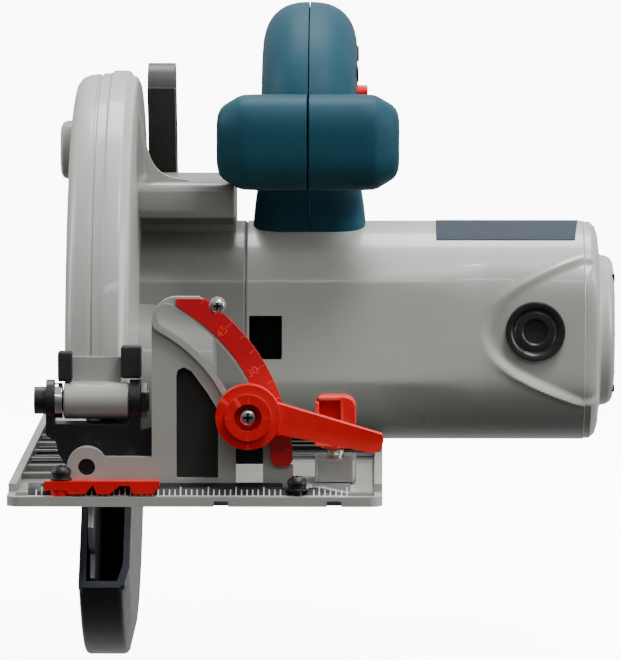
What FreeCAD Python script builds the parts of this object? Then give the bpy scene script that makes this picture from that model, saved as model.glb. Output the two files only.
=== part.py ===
"""Handheld circular saw: a tilting base, a depth pivot, a guarded blade, a gearbox, a motor and two grips.

Millimetres. The origin is on the sole at the middle of the base plate. +X points to the motor, +Y to the rear
and +Z up. Every size is a cell of the sheet "dims", and each piece is bound to those cells by expressions.
"""

import FreeCAD, Part
import math
import os
import re
import Sketcher

SIZES = {
    # base plate
    "base_width": 135.5, "base_length": 288, "base_floor": 3.6, "base_corner": 5,
    "rim_width": 3, "rim_height": 6.6, "front_lip": 2.6, "ledge_depth": 16, "ledge_floor": 2.2,
    "slot_left": -47, "slot_right": -5, "slot_front": -112, "slot_rear": 99, "slot_corner": 6,
    "notch_height": 2, "notch_width": 5.2, "notch_depth": 4, "notch_a": 9.6, "notch_b": 50.3,
    "rib_width": 2.4, "rib_height": 2, "rib_count": 7,
    "ruler_left": -60, "ruler_right": 56, "ruler_depth": 4.6, "ruler_thickness": 0.6,
    "ruler_low": 1.2, "ruler_high": 5.7,
    # bevel pivot line and front quadrant
    "bevel_x": -39, "bevel_z": 13.5, "ear_radius": 7.2, "bevel_pin_radius": 3,
    "quadrant_front": -134.6, "quadrant_thickness": 4.6, "quadrant_left": -15.5, "quadrant_top": 75,
    "quadrant_round": 9, "slot_radius": 61.4, "slot_width": 8.2, "lip_width": 1.8, "lip_height": 1.4,
    "lip_outer": 0.9, "bevel_bolt_radius": 2.5,
    "slot_low_angle": 13, "slot_high_angle": 61.8, "bolt_angle": 18,
    "window_left": -6.6, "window_right": 8.4, "window_top": 49.6, "window_bottom": 9.4, "window_depth": 3,
    "gap_left": 14.8, "gap_right": 24.6, "gap_top": 26, "gap_bottom": 7.4,
    "web_top": 17, "ear_depth": 5.8, "ear_front": -135.8,
    "scale_inner": 66.6, "scale_outer": 74.5, "scale_high_angle": 59, "scale_thickness": 1.5,
    "scale_low_angle": 3, "scale_screw_angle": 51, "scale_boss_radius": 2.9, "scale_screw_radius": 2.4,
    "scale_screw_shank": 1.2,
    # cut-line guide
    "guide_left": -54, "guide_right": -12.5, "guide_thickness": 1.2, "guide_seat": 8, "guide_low": 4.5,
    "guide_notch": 3, "guide_setback": 0.4, "guide_wall": 1.9,
    # pan-head screws
    "screw_radius": 3.6, "screw_head": 3.4, "washer_radius": 3.9, "washer_thickness": 2,
    "screw_shank": 2, "screw_left_x": -48, "screw_right_x": 37, "screw_y": -139.6,
    "foot_top": 5.4, "foot_front": -138, "foot_half": 5,
    # rip-fence clamp
    "fence_x": 50.5, "fence_y": -92, "fence_block_x": 15, "fence_block_y": 26, "fence_block_z": 8,
    "fence_channel_y": 18, "fence_channel_z": 4.4, "fence_screw_radius": 2.5, "wing_width": 15,
    "wing_low": 18, "wing_high": 35.3, "wing_wall": 2.6,
    # blade, gears and spindle
    "blade_x": -39.6, "blade_y": -7, "blade_z": 36, "blade_radius": 100, "blade_plate": 1.8,
    "blade_teeth": 24, "blade_bore": 10, "tooth_depth": 7, "kerf": 2.6,
    "gear_module": 1, "gear_teeth": 47, "pinion_teeth": 10, "gear_left": -20.6, "gear_width": 8,
    "spindle_radius": 7.5, "flange_radius": 20, "flange_thickness": 3.2, "bolt_hex": 8.7,
    "bolt_head": 5, "bolt_washer_radius": 12, "bolt_left": -52,
    "running_gap": 0.05, "body_gap": 0.3,
    # blade guards
    "lower_outer": 107.5, "lower_left": -44.4, "lower_right": -26, "lower_wall": 2, "lower_inner": 45,
    "lower_start": 133, "lower_span": 190, "tab_angle": 245, "lower_bevel": 9, "nose_radius": 24, "hub_wall": 5.5,
    "upper_outer": 114, "upper_left": -48, "upper_right": -24, "upper_rim": 3, "upper_side": 2.6,
    "upper_start": -98, "upper_span": 190, "upper_eye": 36, "side_wall_right": 1.4,
    # depth pivot
    "pivot_y": -124, "pivot_z": 36.5, "boss_radius": 6.7, "boss_left": -47.6, "boss_right": -24,
    "pivot_bolt_radius": 4, "ear_left": -54, "ear_wall": 3, "right_ear": -23.7, "right_ear_wall": 3.9,
    "bracket_front": -129.6, "bracket_rear": -117, "bracket_bar_low": 12.5, "bracket_bar_high": 28.4,
    "bracket_ear_radius": 7.6, "plate_thickness": 3.4,
    "depth_range": 28, "depth_slot_radius": 197, "depth_slot_width": 8.4, "depth_bolt_angle": 2,
    "arm_left": -22.8, "arm_thickness": 10.6, "arm_width": 22, "arm_foot": 8, "arm_foot_rear": 112,
    # gear case and motor
    "motor_rise": 13.5, "motor_radius": 41.8, "motor_bore": 34, "motor_facet": 37.4,
    "case_right": 16, "case_wall": 3, "case_gap": 1.5, "ledge_top": 109, "ledge_bottom": 96, "ledge_low": 70, "ledge_foot": 2,
    "ledge_front": -30, "ledge_rear": 34, "housing_right": 144, "cap_right": 156, "cap_bore": 30,
    "brush_x": 125.5, "brush_z": 52, "brush_cap_radius": 7.5, "brush_ring_radius": 11.3,
    "stator_left": 45, "stator_right": 90, "stator_bore": 22.5, "core_gap": 0.8, "coil_length": 8,
    "shaft_radius": 4, "pinion_shaft": 3, "bearing_radius": 11, "bearing_width": 7,
    "fan_left": 20, "fan_width": 11, "fan_radius": 31, "fan_blades": 9, "fan_blade": 2,
    "commutator_radius": 12.5, "commutator_length": 17, "brush_width": 6,
    "label_left": 88, "label_right": 143, "label_depth": 26, "label_thickness": 0.8,
    # handle
    "seam_x": 39.75, "handle_half": 18, "grip_y": -34, "grip_z": 124.3, "grip_radius": 17.8,
    "grip_half": 34.2, "grip_end": 12, "neck_half": 21.5, "handle_wall": 3,
    "trigger_width": 13, "trigger_front": 28, "trigger_rear": 58, "trigger_low": 121,
    "trigger_top": 141, "button_y": 6, "button_z": 141.3, "button_radius": 2.7,
    "button_right": 62, "handle_under": 133, "lock_button_radius": 5,
    "lock_button_x": -12, "lock_button_z": 88, "gland_radius": 6.5, "gland_length": 14,
}

# Lower edge of the cut guide, from its left end: distance along it and height above its teeth.
GUIDE_TEETH = (
    (0, 1.4), (7.5, 1.4), (9, 0), (14.6, 0), (17.6, 3.2), (19, 0), (23.6, 0), (27.2, 3), (30.6, 3), (32, 0),
    (39.4, 0),
)

doc = FreeCAD.newDocument("circular_saw")
sheet = doc.addObject("Spreadsheet::Sheet", "dims")
for row, (alias, value) in enumerate(SIZES.items(), start=1):
    sheet.set("A%d" % row, alias)
    sheet.set("B%d" % row, str(value))
    sheet.setAlias("B%d" % row, alias)
doc.recompute()

# The motor's axis lies behind and above the blade's, at the gears' centre distance.
CENTRES = "(gear_module * (gear_teeth + pinion_teeth) / 2)"
MOTOR_Y = "(blade_y + sqrt(%s ^ 2 - motor_rise ^ 2))" % CENTRES
MOTOR_Z = "(blade_z + motor_rise)"
TURN = {
    "X": FreeCAD.Rotation(FreeCAD.Vector(0, 1, 0), 90),
    "Y": FreeCAD.Rotation(FreeCAD.Vector(1, 0, 0), -90),
    "-Y": FreeCAD.Rotation(FreeCAD.Vector(1, 0, 0), 90),
    "Z": FreeCAD.Rotation(),
}
NODES = []


def bound(text):
    """An expression in which each name of SIZES reads its cell of the sheet."""
    return re.sub(r"[a-z_]+", lambda m: "dims." + m[0] if m[0] in SIZES else m[0], str(text))


def bind(thing, **values):
    for name, text in values.items():
        thing.setExpression(name.replace("__", "."), bound(text))


def place(thing, at, rotation=None):
    if rotation is not None:
        thing.Placement = FreeCAD.Placement(FreeCAD.Vector(), rotation)
    for axis, text in zip("xyz", at):
        thing.setExpression("Placement.Base." + axis, bound(text))
    return thing


def node(thing, name):
    """Marks a finished piece: its label names its file."""
    thing.Label = name
    NODES.append(thing)
    return thing


def box(low, high):
    thing = doc.addObject("Part::Box", "block")
    sizes = ["(%s) - (%s)" % (b, a) for a, b in zip(low, high)]
    bind(thing, Length=sizes[0], Width=sizes[1], Height=sizes[2])
    return place(thing, low)


def rod(axis, start, length, at, radius, angle=360):
    """A round bar, or a sector of one, from start along axis; at holds the other two coordinates."""
    thing = doc.addObject("Part::Cylinder", "bar")
    bind(thing, Radius=radius, Height=length, Angle=angle)
    spot = {"X": (start, *at), "Y": (at[0], start, at[1]), "-Y": (at[0], start, at[1]), "Z": (*at, start)}
    return place(thing, spot[axis], TURN[axis])


def hexagon(start, length, at, across):
    thing = doc.addObject("Part::Prism", "hex")
    thing.Polygon = 6
    bind(thing, Circumradius=across, Height=length)
    return place(thing, (start, *at), TURN["X"])


def fuse(*things):
    whole = doc.addObject("Part::MultiFuse", "joined")
    whole.Shapes = list(things)
    whole.Refine = True
    return whole


def cut(base, *tools):
    whole = doc.addObject("Part::Cut", "cut")
    whole.Base = base
    whole.Tool = tools[0] if len(tools) == 1 else fuse(*tools)
    return whole


def group(*things):
    """Several separate solids that share one node."""
    whole = doc.addObject("Part::Compound", "set")
    whole.Links = list(things)
    return whole


def ring(axis, start, length, at, outer, inner):
    hole = rod(axis, "(%s) - 1" % start, "(%s) + 2" % length, at, inner)
    return cut(rod(axis, start, length, at, outer), hole)


def body(name):
    return doc.addObject("PartDesign::Body", name)


def sketch(owner, plane, loops, start):
    """A sketch on one of the body's own planes, moved to start. A loop is a list of corners or (u, v, radius)."""
    flat = next(f for f in owner.Origin.OriginFeatures if f.Role == plane + "_Plane")
    drawn = owner.newObject("Sketcher::SketchObject", "outline")
    drawn.AttachmentSupport = [(flat, "")]
    drawn.MapMode = "FlatFace"
    sign = "-" if plane == "XZ" else ""
    drawn.setExpression("AttachmentOffset.Base.z", bound("%s(%s)" % (sign, start)))
    for loop in loops:
        first = len(drawn.Geometry)
        if isinstance(loop, tuple):
            drawn.addGeometry(Part.Circle(FreeCAD.Vector(), FreeCAD.Vector(0, 0, 1), 1))
            pin_point(drawn, first, 3, loop[:2])
            index = drawn.addConstraint(Sketcher.Constraint("Radius", first, 1.0))
            drawn.setExpression("Constraints[%d]" % index, bound(loop[2]))
            continue
        count = len(loop)
        spots = [2 * math.pi * i / count for i in range(count)]
        spots = [FreeCAD.Vector(math.cos(a), math.sin(a), 0) for a in spots]
        for i in range(count):
            drawn.addGeometry(Part.LineSegment(spots[i], spots[(i + 1) % count]))
        for i in range(count):
            follower = first + (i + 1) % count
            drawn.addConstraint(Sketcher.Constraint("Coincident", first + i, 2, follower, 1))
        for i, corner in enumerate(loop):
            pin_point(drawn, first + i, 1, corner)
    return drawn


def pin_point(drawn, geometry, position, spot):
    """Ties a point of the sketch to the origin by two expressions."""
    for kind, text in zip(("DistanceX", "DistanceY"), spot):
        index = drawn.addConstraint(Sketcher.Constraint(kind, -1, 1, geometry, position, 0.5))
        drawn.setExpression("Constraints[%d]" % index, bound(text))


def pad(owner, plane, loops, start, length):
    """Adds the outline to the body, from start along the plane's third axis."""
    made = owner.newObject("PartDesign::Pad", "pad")
    made.Profile = sketch(owner, plane, loops, start)
    made.Reversed = plane == "XZ"
    bind(made, Length=length)
    doc.recompute()
    return owner


def pocket(owner, plane, loops, start, length):
    """Cuts the outline out of the body, and stops if nothing was cut."""
    before = owner.Shape.Volume
    made = owner.newObject("PartDesign::Pocket", "pocket")
    made.Profile = sketch(owner, plane, loops, start)
    made.Reversed = plane != "XZ"
    bind(made, Length=length)
    doc.recompute()
    if owner.Shape.Volume >= before:
        raise RuntimeError("a pocket of %s cut nothing" % owner.Name)
    return owner


def turned(owner, profile, at, start=0, angle=360, rotation=None):
    """A body revolved about X: profile holds (x, radius) corners, and at is the axis's (y, z)."""
    made = owner.newObject("PartDesign::Revolution", "turn")
    drawn = sketch(owner, "XZ", [profile], 0)
    made.Profile = drawn
    made.ReferenceAxis = (drawn, ["H_Axis"])
    bind(made, Angle=angle)
    if start:
        owner.Placement = FreeCAD.Placement(FreeCAD.Vector(), FreeCAD.Rotation(FreeCAD.Vector(1, 0, 0), 1))
        owner.setExpression("Placement.Rotation.Angle", bound(start))
    place(owner, (0, *at))
    doc.recompute()
    return owner


def rounded(owner, radius, wanted):
    """Fillets the edges of the body's last feature that wanted picks by their middle point and direction."""
    last = owner.Tip
    names = []
    for i, edge in enumerate(last.Shape.Edges, start=1):
        if edge.Curve.TypeId != "Part::GeomLine":
            continue
        ends = [v.Point for v in edge.Vertexes]
        along = (ends[1] - ends[0]).normalize()
        if wanted((ends[0] + ends[1]) * 0.5, along):
            names.append("Edge%d" % i)
    made = owner.newObject("PartDesign::Fillet", "round")
    made.Base = (last, names)
    bind(made, Radius=radius)
    doc.recompute()
    return owner


def rectangle(left, low, right, high):
    return [(left, low), (right, low), (right, high), (left, high)]


def size(name):
    return float(sheet.get(name))


def on_arc(radius, angle, centre=("bevel_x", "bevel_z")):
    """Expressions of a point at an angle above the horizontal, round the bevel pivot unless told otherwise."""
    return (
        "%s + (%s) * cos(%s)" % (centre[0], radius, angle),
        "%s + (%s) * sin(%s)" % (centre[1], radius, angle),
    )


def arc_band(start, depth, radius, width, low, high, centre=("bevel_x", "bevel_z")):
    """A curved bar with round ends, in a plane across Y, from start towards the rear."""
    back = "(%s) + (%s)" % (start, depth)
    outer = rod("-Y", back, depth, centre, "(%s) + (%s) / 2" % (radius, width), "(%s) - (%s)" % (high, low))
    inner = rod("-Y", back, depth, centre, "(%s) - (%s) / 2" % (radius, width), "(%s) - (%s)" % (high, low))
    sector = cut(outer, inner)
    sector.Placement = FreeCAD.Placement()
    for piece in (outer, inner):
        tilt = FreeCAD.Rotation(FreeCAD.Vector(0, -1, 0), 1)
        tilt.Angle = math.radians(size(low)) if low in SIZES else math.radians(low)
        piece.Placement = FreeCAD.Placement(piece.Placement.Base, tilt.multiply(TURN["-Y"]))
    ends = []
    for angle in (low, high):
        ends.append(rod("-Y", back, depth, on_arc(radius, angle, centre), "(%s) / 2" % width))
    return fuse(sector, *ends)


SCALE_SCREW = on_arc("scale_outer + 0.5", "scale_screw_angle")


# ---------------------------------------------------------------- base


def base_plate():
    half = "base_width / 2"
    front, rear = "-base_length / 2", "base_length / 2"
    plate = pad(body("base_plate"), "XY", [rectangle("-" + half, front, half, rear)], 0, "base_floor")
    rounded(plate, "base_corner", lambda mid, along: abs(along.z) > 0.9)
    inner = "(%s - rim_width)" % half
    for side in ("-1", "1"):
        low = "%s * %s" % (side, inner)
        high = "%s * %s" % (side, half)
        rail = rectangle(low, front + " + ledge_depth", high, rear + " - base_corner")
        pad(plate, "XY", [rail], 0, "rim_height")
    back_rail = rectangle("-" + inner, rear + " - rim_width", inner, rear)
    pad(plate, "XY", [back_rail], 0, "rim_height - 1")
    edge = front + " + ledge_depth"
    ledge = rectangle("-%s" % inner, front + " + front_lip", inner, edge)
    pocket(plate, "XY", [ledge], "ledge_floor", "base_floor")
    slot = rectangle("slot_left", "slot_front", "slot_right", "slot_rear")
    pocket(plate, "XY", [slot], "-1", "rim_height + 2")
    middle = (size("slot_front") + size("slot_rear")) / 2
    reach = (size("slot_rear") - size("slot_front")) / 2 + 1
    inside = size("slot_right") + 1

    def slot_corner(mid, along):
        return abs(along.z) > 0.9 and abs(mid.y - middle) < reach and size("slot_left") - 1 < mid.x < inside

    rounded(plate, "slot_corner", slot_corner)
    for spot in ("notch_a", "notch_b"):
        mouth = rectangle(spot + " - notch_width / 2", 0, spot + " + notch_width / 2", "notch_height")
        pocket(plate, "XZ", [mouth], front + " - 1", "notch_depth + 1")
    for i in range(int(size("rib_count"))):
        spot = "slot_front + (slot_rear - slot_front) * %d / (rib_count + 1)" % (i + 1)
        rib = rectangle("-%s" % inner, spot, "slot_left", "%s + rib_width" % spot)
        pad(plate, "XY", [rib], "base_floor / 2", "base_floor / 2 + rib_height")
        rib = rectangle("slot_right", spot, inner, "%s + rib_width" % spot)
        if i > 1:
            pad(plate, "XY", [rib], "base_floor / 2", "base_floor / 2 + rib_height / 2")
    for x in ("screw_left_x", "screw_right_x"):
        pocket(plate, "XY", [(x, "screw_y", "screw_shank + running_gap")], "-1", "base_floor + 2")
    node(plate, "base_plate")


def ruler_and_guide():
    """The sloped ruler behind the front lip and the red guide that is screwed over its left end."""
    front = "-base_length / 2 + front_lip"
    back = front + " + ruler_depth"
    over = "ledge_floor + ruler_thickness"
    slope = [(front, "ledge_floor"), (front, "ledge_floor + ruler_low"), (back, "ledge_floor + ruler_high")]
    slope.append((back, "ledge_floor"))
    strip = pad(body("ruler_wedge"), "YZ", [slope], "ruler_left", "ruler_right - ruler_left")
    left, right = ("screw_left_x", "screw_y"), ("screw_right_x", "screw_y")
    room = "washer_radius + body_gap"
    shanks = [rod("Z", 0, "foot_top + 1", at, "screw_shank + 0.1") for at in (left, right)]
    boss_room = rod("Z", over, "ruler_high", left, room)
    washer_room = rod("Z", "foot_top - running_gap", "ruler_high", right, room)
    foot_room = box(
        ("screw_right_x - foot_half - body_gap", "foot_front - body_gap", over),
        ("screw_right_x + foot_half + body_gap", back + " + 1", "ledge_floor + ruler_high + 1"),
    )
    node(cut(strip, boss_room, washer_room, foot_room, *shanks), "ruler_strip")
    front = "-base_length / 2 + guide_setback"
    top = rectangle("guide_left", front, "guide_right", "ear_front - body_gap")
    plate = pad(body("cut_guide"), "XY", [top], "guide_seat", "guide_thickness")
    edge = [("guide_left + %s" % x, "guide_low + %s" % z) for x, z in GUIDE_TEETH]
    high = "guide_seat + guide_thickness"
    edge += [("guide_right", "guide_low + guide_notch"), ("guide_right", high), ("guide_left", high)]
    pad(plate, "XZ", [edge], front, "guide_wall")
    pad(plate, "XY", [(*left, "washer_radius")], "base_floor + 0.02", "guide_seat - base_floor")
    pocket(plate, "XY", [(*left, "screw_shank + running_gap")], 0, high + " + 1")
    node(plate, "cut_guide")


def base_screws():
    """Pan-head screws with washers: one holds the guide, one the quadrant's foot."""
    parts = []
    floors = (
        ("screw_left_x", "guide_seat + guide_thickness"),
        ("screw_right_x", "foot_top"),
    )
    for x, floor in floors:
        washer = rod("Z", floor, "washer_thickness", (x, "screw_y"), "washer_radius")
        head = rod("Z", floor + " + washer_thickness", "screw_head", (x, "screw_y"), "screw_radius")
        shank = rod("Z", "0.4", floor + " - 0.4", (x, "screw_y"), "screw_shank")
        parts.append(fuse(washer, head, shank))
    node(group(*parts), "base_screws")


def front_quadrant():
    """Cast quadrant with the bevel ear, a web, two columns and the arc slot of the bevel clamp."""
    front, deep = "quadrant_front", "quadrant_thickness"
    blank = rod("-Y", "%s + %s" % (front, deep), deep, ("bevel_x", "bevel_z"), "scale_inner + 7", 90)
    trim = box(("quadrant_left", front + " - 1", "ledge_floor"), ("60", front + " + 9", "quadrant_top"))
    sector = doc.addObject("Part::Common", "trimmed")
    sector.Base = blank
    sector.Tool = trim
    foot = box(
        ("quadrant_left", front, "ledge_floor + 0.01"),
        ("bevel_x + scale_outer", front + " + " + deep, "bevel_z + 1"),
    )
    tab = box(
        ("quadrant_left", front + " + " + deep + " - 1", "base_floor + 0.02"),
        ("bevel_x + scale_outer", front + " + 14", "base_floor + 2.6"),
    )
    screw_foot = box(
        ("screw_right_x - foot_half", "foot_front", "ledge_floor + ruler_thickness + 0.02"),
        ("screw_right_x + foot_half", front + " + 1", "foot_top"),
    )
    ear = rod("Y", "ear_front", "ear_depth", ("bevel_x", "bevel_z"), "ear_radius")
    ear_foot = box(
        ("bevel_x - ear_radius", "ear_front", "ledge_floor + 0.01"),
        ("bevel_x + ear_radius", "ear_front + ear_depth", "bevel_z"),
    )
    web = box(("bevel_x", front, "ledge_floor + 0.01"), ("quadrant_left + 1", front + " + " + deep, "web_top"))
    lips = arc_band(
        front + " - lip_height", "lip_height + 1", "slot_radius - (lip_width - lip_outer) / 2",
        "slot_width + lip_width + lip_outer", "slot_low_angle", "slot_high_angle",
    )
    screw_boss = rod("Y", front + " + 0.6", deep + " - 0.6", SCALE_SCREW, "scale_boss_radius")
    whole = fuse(sector, foot, tab, screw_foot, ear, ear_foot, web, lips, screw_boss)
    slot = arc_band(front + " - 4", "14", "slot_radius", "slot_width", "slot_low_angle", "slot_high_angle")
    window = body("window_tool")
    pad(
        window, "XZ",
        [[
            ("window_left", "window_bottom"), ("window_right", "window_bottom"),
            ("window_right", "window_top - 15.6"), ("window_right - 3.6", "window_top - 9.6"),
            ("window_right - 9.6", "window_top - 1.4"), ("window_left + 2.8", "window_top"),
            ("window_left + 0.6", "window_top - 1"), ("window_left", "window_top - 3.1"),
        ]],
        front + " - 4", "window_depth + 4",
    )
    gap = body("gap_tool")
    pad(
        gap, "XZ",
        [[
            ("gap_left", "gap_bottom"), ("gap_right", "gap_bottom"), ("gap_right", "gap_top - 6"),
            ("gap_right - 2.4", "gap_top - 2"), ("gap_left", "gap_top"),
        ]],
        front + " - 4", "14",
    )
    thread = rod("Y", front + " - 4", "14", SCALE_SCREW, "scale_screw_shank")
    hole = rod("Y", front + " - 4", "14", ("bevel_x", "bevel_z"), "bevel_pin_radius + running_gap")
    corner_keep = rod(
        "Y", front + " - 4", "14",
        ("quadrant_left + quadrant_round", "quadrant_top - quadrant_round"), "quadrant_round",
    )
    corner_block = box(
        ("quadrant_left - 1", front + " - 4", "quadrant_top - quadrant_round"),
        ("quadrant_left + quadrant_round", front + " + 9", "quadrant_top + 1"),
    )
    shank = rod("Z", "0", "foot_top + 1", ("screw_right_x", "screw_y"), "screw_shank + running_gap")
    node(cut(whole, slot, window, gap, hole, shank, thread, cut(corner_block, corner_keep)), "front_quadrant")


def bevel_scale():
    """The red arc with the angle marks, fixed on the quadrant's rim and level with its top."""
    front = "quadrant_front - scale_thickness - 0.1"
    middle = "(scale_inner + scale_outer) / 2"
    band = arc_band(
        front, "scale_thickness", middle, "scale_outer - scale_inner", "scale_low_angle", "scale_high_angle",
    )
    above = box(("-60", front + " - 1", "quadrant_top - 0.6"), ("60", front + " + 3", "quadrant_top + 20"))
    below = box(("-60", front + " - 1", "0"), ("60", front + " + 3", "bevel_z + 0.4"))
    seat = rod("Y", front + " - 1", "4", SCALE_SCREW, "scale_boss_radius + 0.1")
    node(cut(band, above, below, seat), "bevel_scale")


def scale_screws():
    """Small cross-head screw that holds the scale at the quadrant's rim."""
    front = "quadrant_front - 0.05"
    head = rod("Y", front + " - 1.5", "1.5", SCALE_SCREW, "scale_screw_radius")
    shank = rod("Y", front + " - 1", "5", SCALE_SCREW, "scale_screw_shank - running_gap")
    node(fuse(head, shank), "scale_screws")


def fence_clamp():
    half_x, half_y = "fence_block_x / 2", "fence_block_y / 2"
    low = "base_floor + rib_height / 2 + 0.1"
    block = pad(
        body("fence_block"), "XY",
        [rectangle("fence_x - " + half_x, "fence_y - " + half_y, "fence_x + " + half_x, "fence_y + " + half_y)],
        low, "fence_block_z",
    )
    rounded(block, "2.5", lambda mid, along: abs(along.z) > 0.9)
    mouth = rectangle(
        "fence_y - fence_channel_y / 2", low + " + 1.6",
        "fence_y + fence_channel_y / 2", low + " + 1.6 + fence_channel_z",
    )
    pocket(block, "YZ", [mouth], "fence_x - fence_block_x", "2 * fence_block_x")
    bore = ("fence_x", "fence_y", "fence_screw_radius + running_gap")
    pocket(block, "XY", [bore], low + " + 4", "fence_block_z")
    node(block, "fence_block")
    spot = ("fence_x", "fence_y")
    top = low + " + fence_block_z"
    spring = ring("Z", top + " + 0.1", "3", spot, "4.6", "fence_screw_radius + 0.6")
    node(spring, "fence_spring")
    shank_low = low + " + 1.6 + fence_channel_z + 0.1"
    shank = rod("Z", shank_low, "wing_low - (%s) + 1" % shank_low, spot, "fence_screw_radius")
    hub = rod("Z", "wing_low - 1", "4", spot, "6")
    wall = "wing_wall"
    half = "wing_width / 2"
    top_plate = box(
        ("fence_x - " + half, "fence_y - 6", "wing_high - " + wall), ("fence_x + " + half, "fence_y + 6", "wing_high"),
    )
    sides = []
    for low_x, high_x in (
        ("fence_x - " + half, "fence_x - %s + %s" % (half, wall)),
        ("fence_x + %s - %s" % (half, wall), "fence_x + " + half),
    ):
        sides.append(box((low_x, "fence_y - 6", "wing_low"), (high_x, "fence_y + 6", "wing_high - 1")))
    floor = box(
        ("fence_x - " + half, "fence_y - 6", "wing_low"), ("fence_x + " + half, "fence_y + 6", "wing_low + 3"),
    )
    node(shank, "fence_screw")
    bore = rod("Z", "0", "wing_low + 1", spot, "fence_screw_radius + running_gap")
    node(cut(fuse(hub, top_plate, floor, *sides), bore), "fence_wing")


def rear_bracket():
    """Casting at the base's rear that carries the second bevel ear."""
    front = "arm_foot_rear + body_gap"
    ear = rod("Y", front, "6", ("bevel_x", "bevel_z"), "ear_radius")
    foot = box(
        ("bevel_x - ear_radius", front, "base_floor"), ("bevel_x + ear_radius", front + " + 6", "bevel_z"),
    )
    plate = box(("-46", front, "base_floor"), ("12", front + " + 18", "base_floor + 3"))
    rib = box(("bevel_x", front, "base_floor"), ("8", front + " + 5", "web_top - 3"))
    hole = rod("Y", front + " - 1", "9", ("bevel_x", "bevel_z"), "bevel_pin_radius + running_gap")
    node(cut(fuse(ear, foot, plate, rib), hole), "rear_bracket")


# ---------------------------------------------------------------- tilting frame


def tilt_bracket():
    """Black steel fork that carries the depth pivot and turns on the front bevel ear."""
    front, rear = "bracket_front", "bracket_rear"
    right_edge = "right_ear + right_ear_wall"
    parts = []
    for low, high in (("ear_left", "ear_left + ear_wall"), ("right_ear", right_edge)):
        parts.append(box((low, front, "bracket_bar_high - 3"), (high, rear, "pivot_z")))
        parts.append(rod("X", low, "(%s) - (%s)" % (high, low), ("pivot_y", "pivot_z"), "bracket_ear_radius"))
    bar = pad(
        body("bar_tool"), "XZ",
        [[
            ("ear_left + 8", "bracket_bar_low"), ("ear_left + 4.6", "bracket_bar_low + 5"),
            ("ear_left + 3.6", "bracket_bar_low + 9.5"), ("ear_left", "bracket_bar_high - 4"),
            ("ear_left", "bracket_bar_high"), (right_edge, "bracket_bar_high"), (right_edge, "bracket_bar_low"),
        ]],
        front, "%s - (%s)" % (rear, front),
    )
    lug = rod("Y", front, "plate_thickness + 1", ("bevel_x", "bevel_z"), "ear_radius")
    plate = pad(
        body("plate_tool"), "XZ",
        [[
            ("right_ear", "bracket_bar_low"), ("gap_left - 2", "bevel_z + 0.5"), ("gap_right + 1", "bevel_z + 0.5"),
            on_arc("slot_radius + 7", "bolt_angle - 7"), on_arc("slot_radius + 7", "bolt_angle + 7"),
            on_arc("slot_radius - 8", "bolt_angle + 8"), ("right_ear", "bracket_bar_high - 4"),
        ]],
        front, "plate_thickness",
    )
    hole = rod("X", "ear_left - 1", "60", ("pivot_y", "pivot_z"), "pivot_bolt_radius + running_gap")
    pin = rod("Y", front + " - 1", "20", ("bevel_x", "bevel_z"), "bevel_pin_radius - running_gap")
    bolt = rod("Y", front + " - 1", "10", on_arc("slot_radius", "bolt_angle"), "bevel_bolt_radius + running_gap")
    node(cut(fuse(*parts, bar, lug, plate), hole, pin, bolt), "tilt_bracket")


def bevel_pins():
    """The two pins of the bevel hinge, front and rear, pressed into the tilting frame."""
    front = rod("Y", "ear_front + 1.6", "12", ("bevel_x", "bevel_z"), "bevel_pin_radius")
    trimmed = cut(front, box(("-60", "bracket_front + 4.5", "0"), ("0", "bracket_front + 30", "40")))
    rear = rod("Y", "arm_foot_rear - 6", "6 + body_gap + 6.8", ("bevel_x", "bevel_z"), "bevel_pin_radius")
    node(group(trimmed, rear), "bevel_pins")


def depth_pivot():
    """Bolt, washers and nut of the depth hinge."""
    spot = ("pivot_y", "pivot_z")
    head = rod("X", "ear_left - 4.4", "4.3", spot, "5")
    shank = rod("X", "ear_left - 0.2", "37.5", spot, "pivot_bolt_radius")
    node(fuse(head, shank), "pivot_bolt")
    bore = "pivot_bolt_radius + running_gap"
    washer = ring("X", "ear_left + ear_wall + 0.1", "2.8", spot, "6.4", bore)
    node(washer, "pivot_washers")
    nut = cut(
        hexagon("right_ear + right_ear_wall + 0.1", "2.4", spot, "6.6"),
        rod("X", "right_ear", "12", spot, bore),
    )
    node(nut, "pivot_nut")


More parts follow.
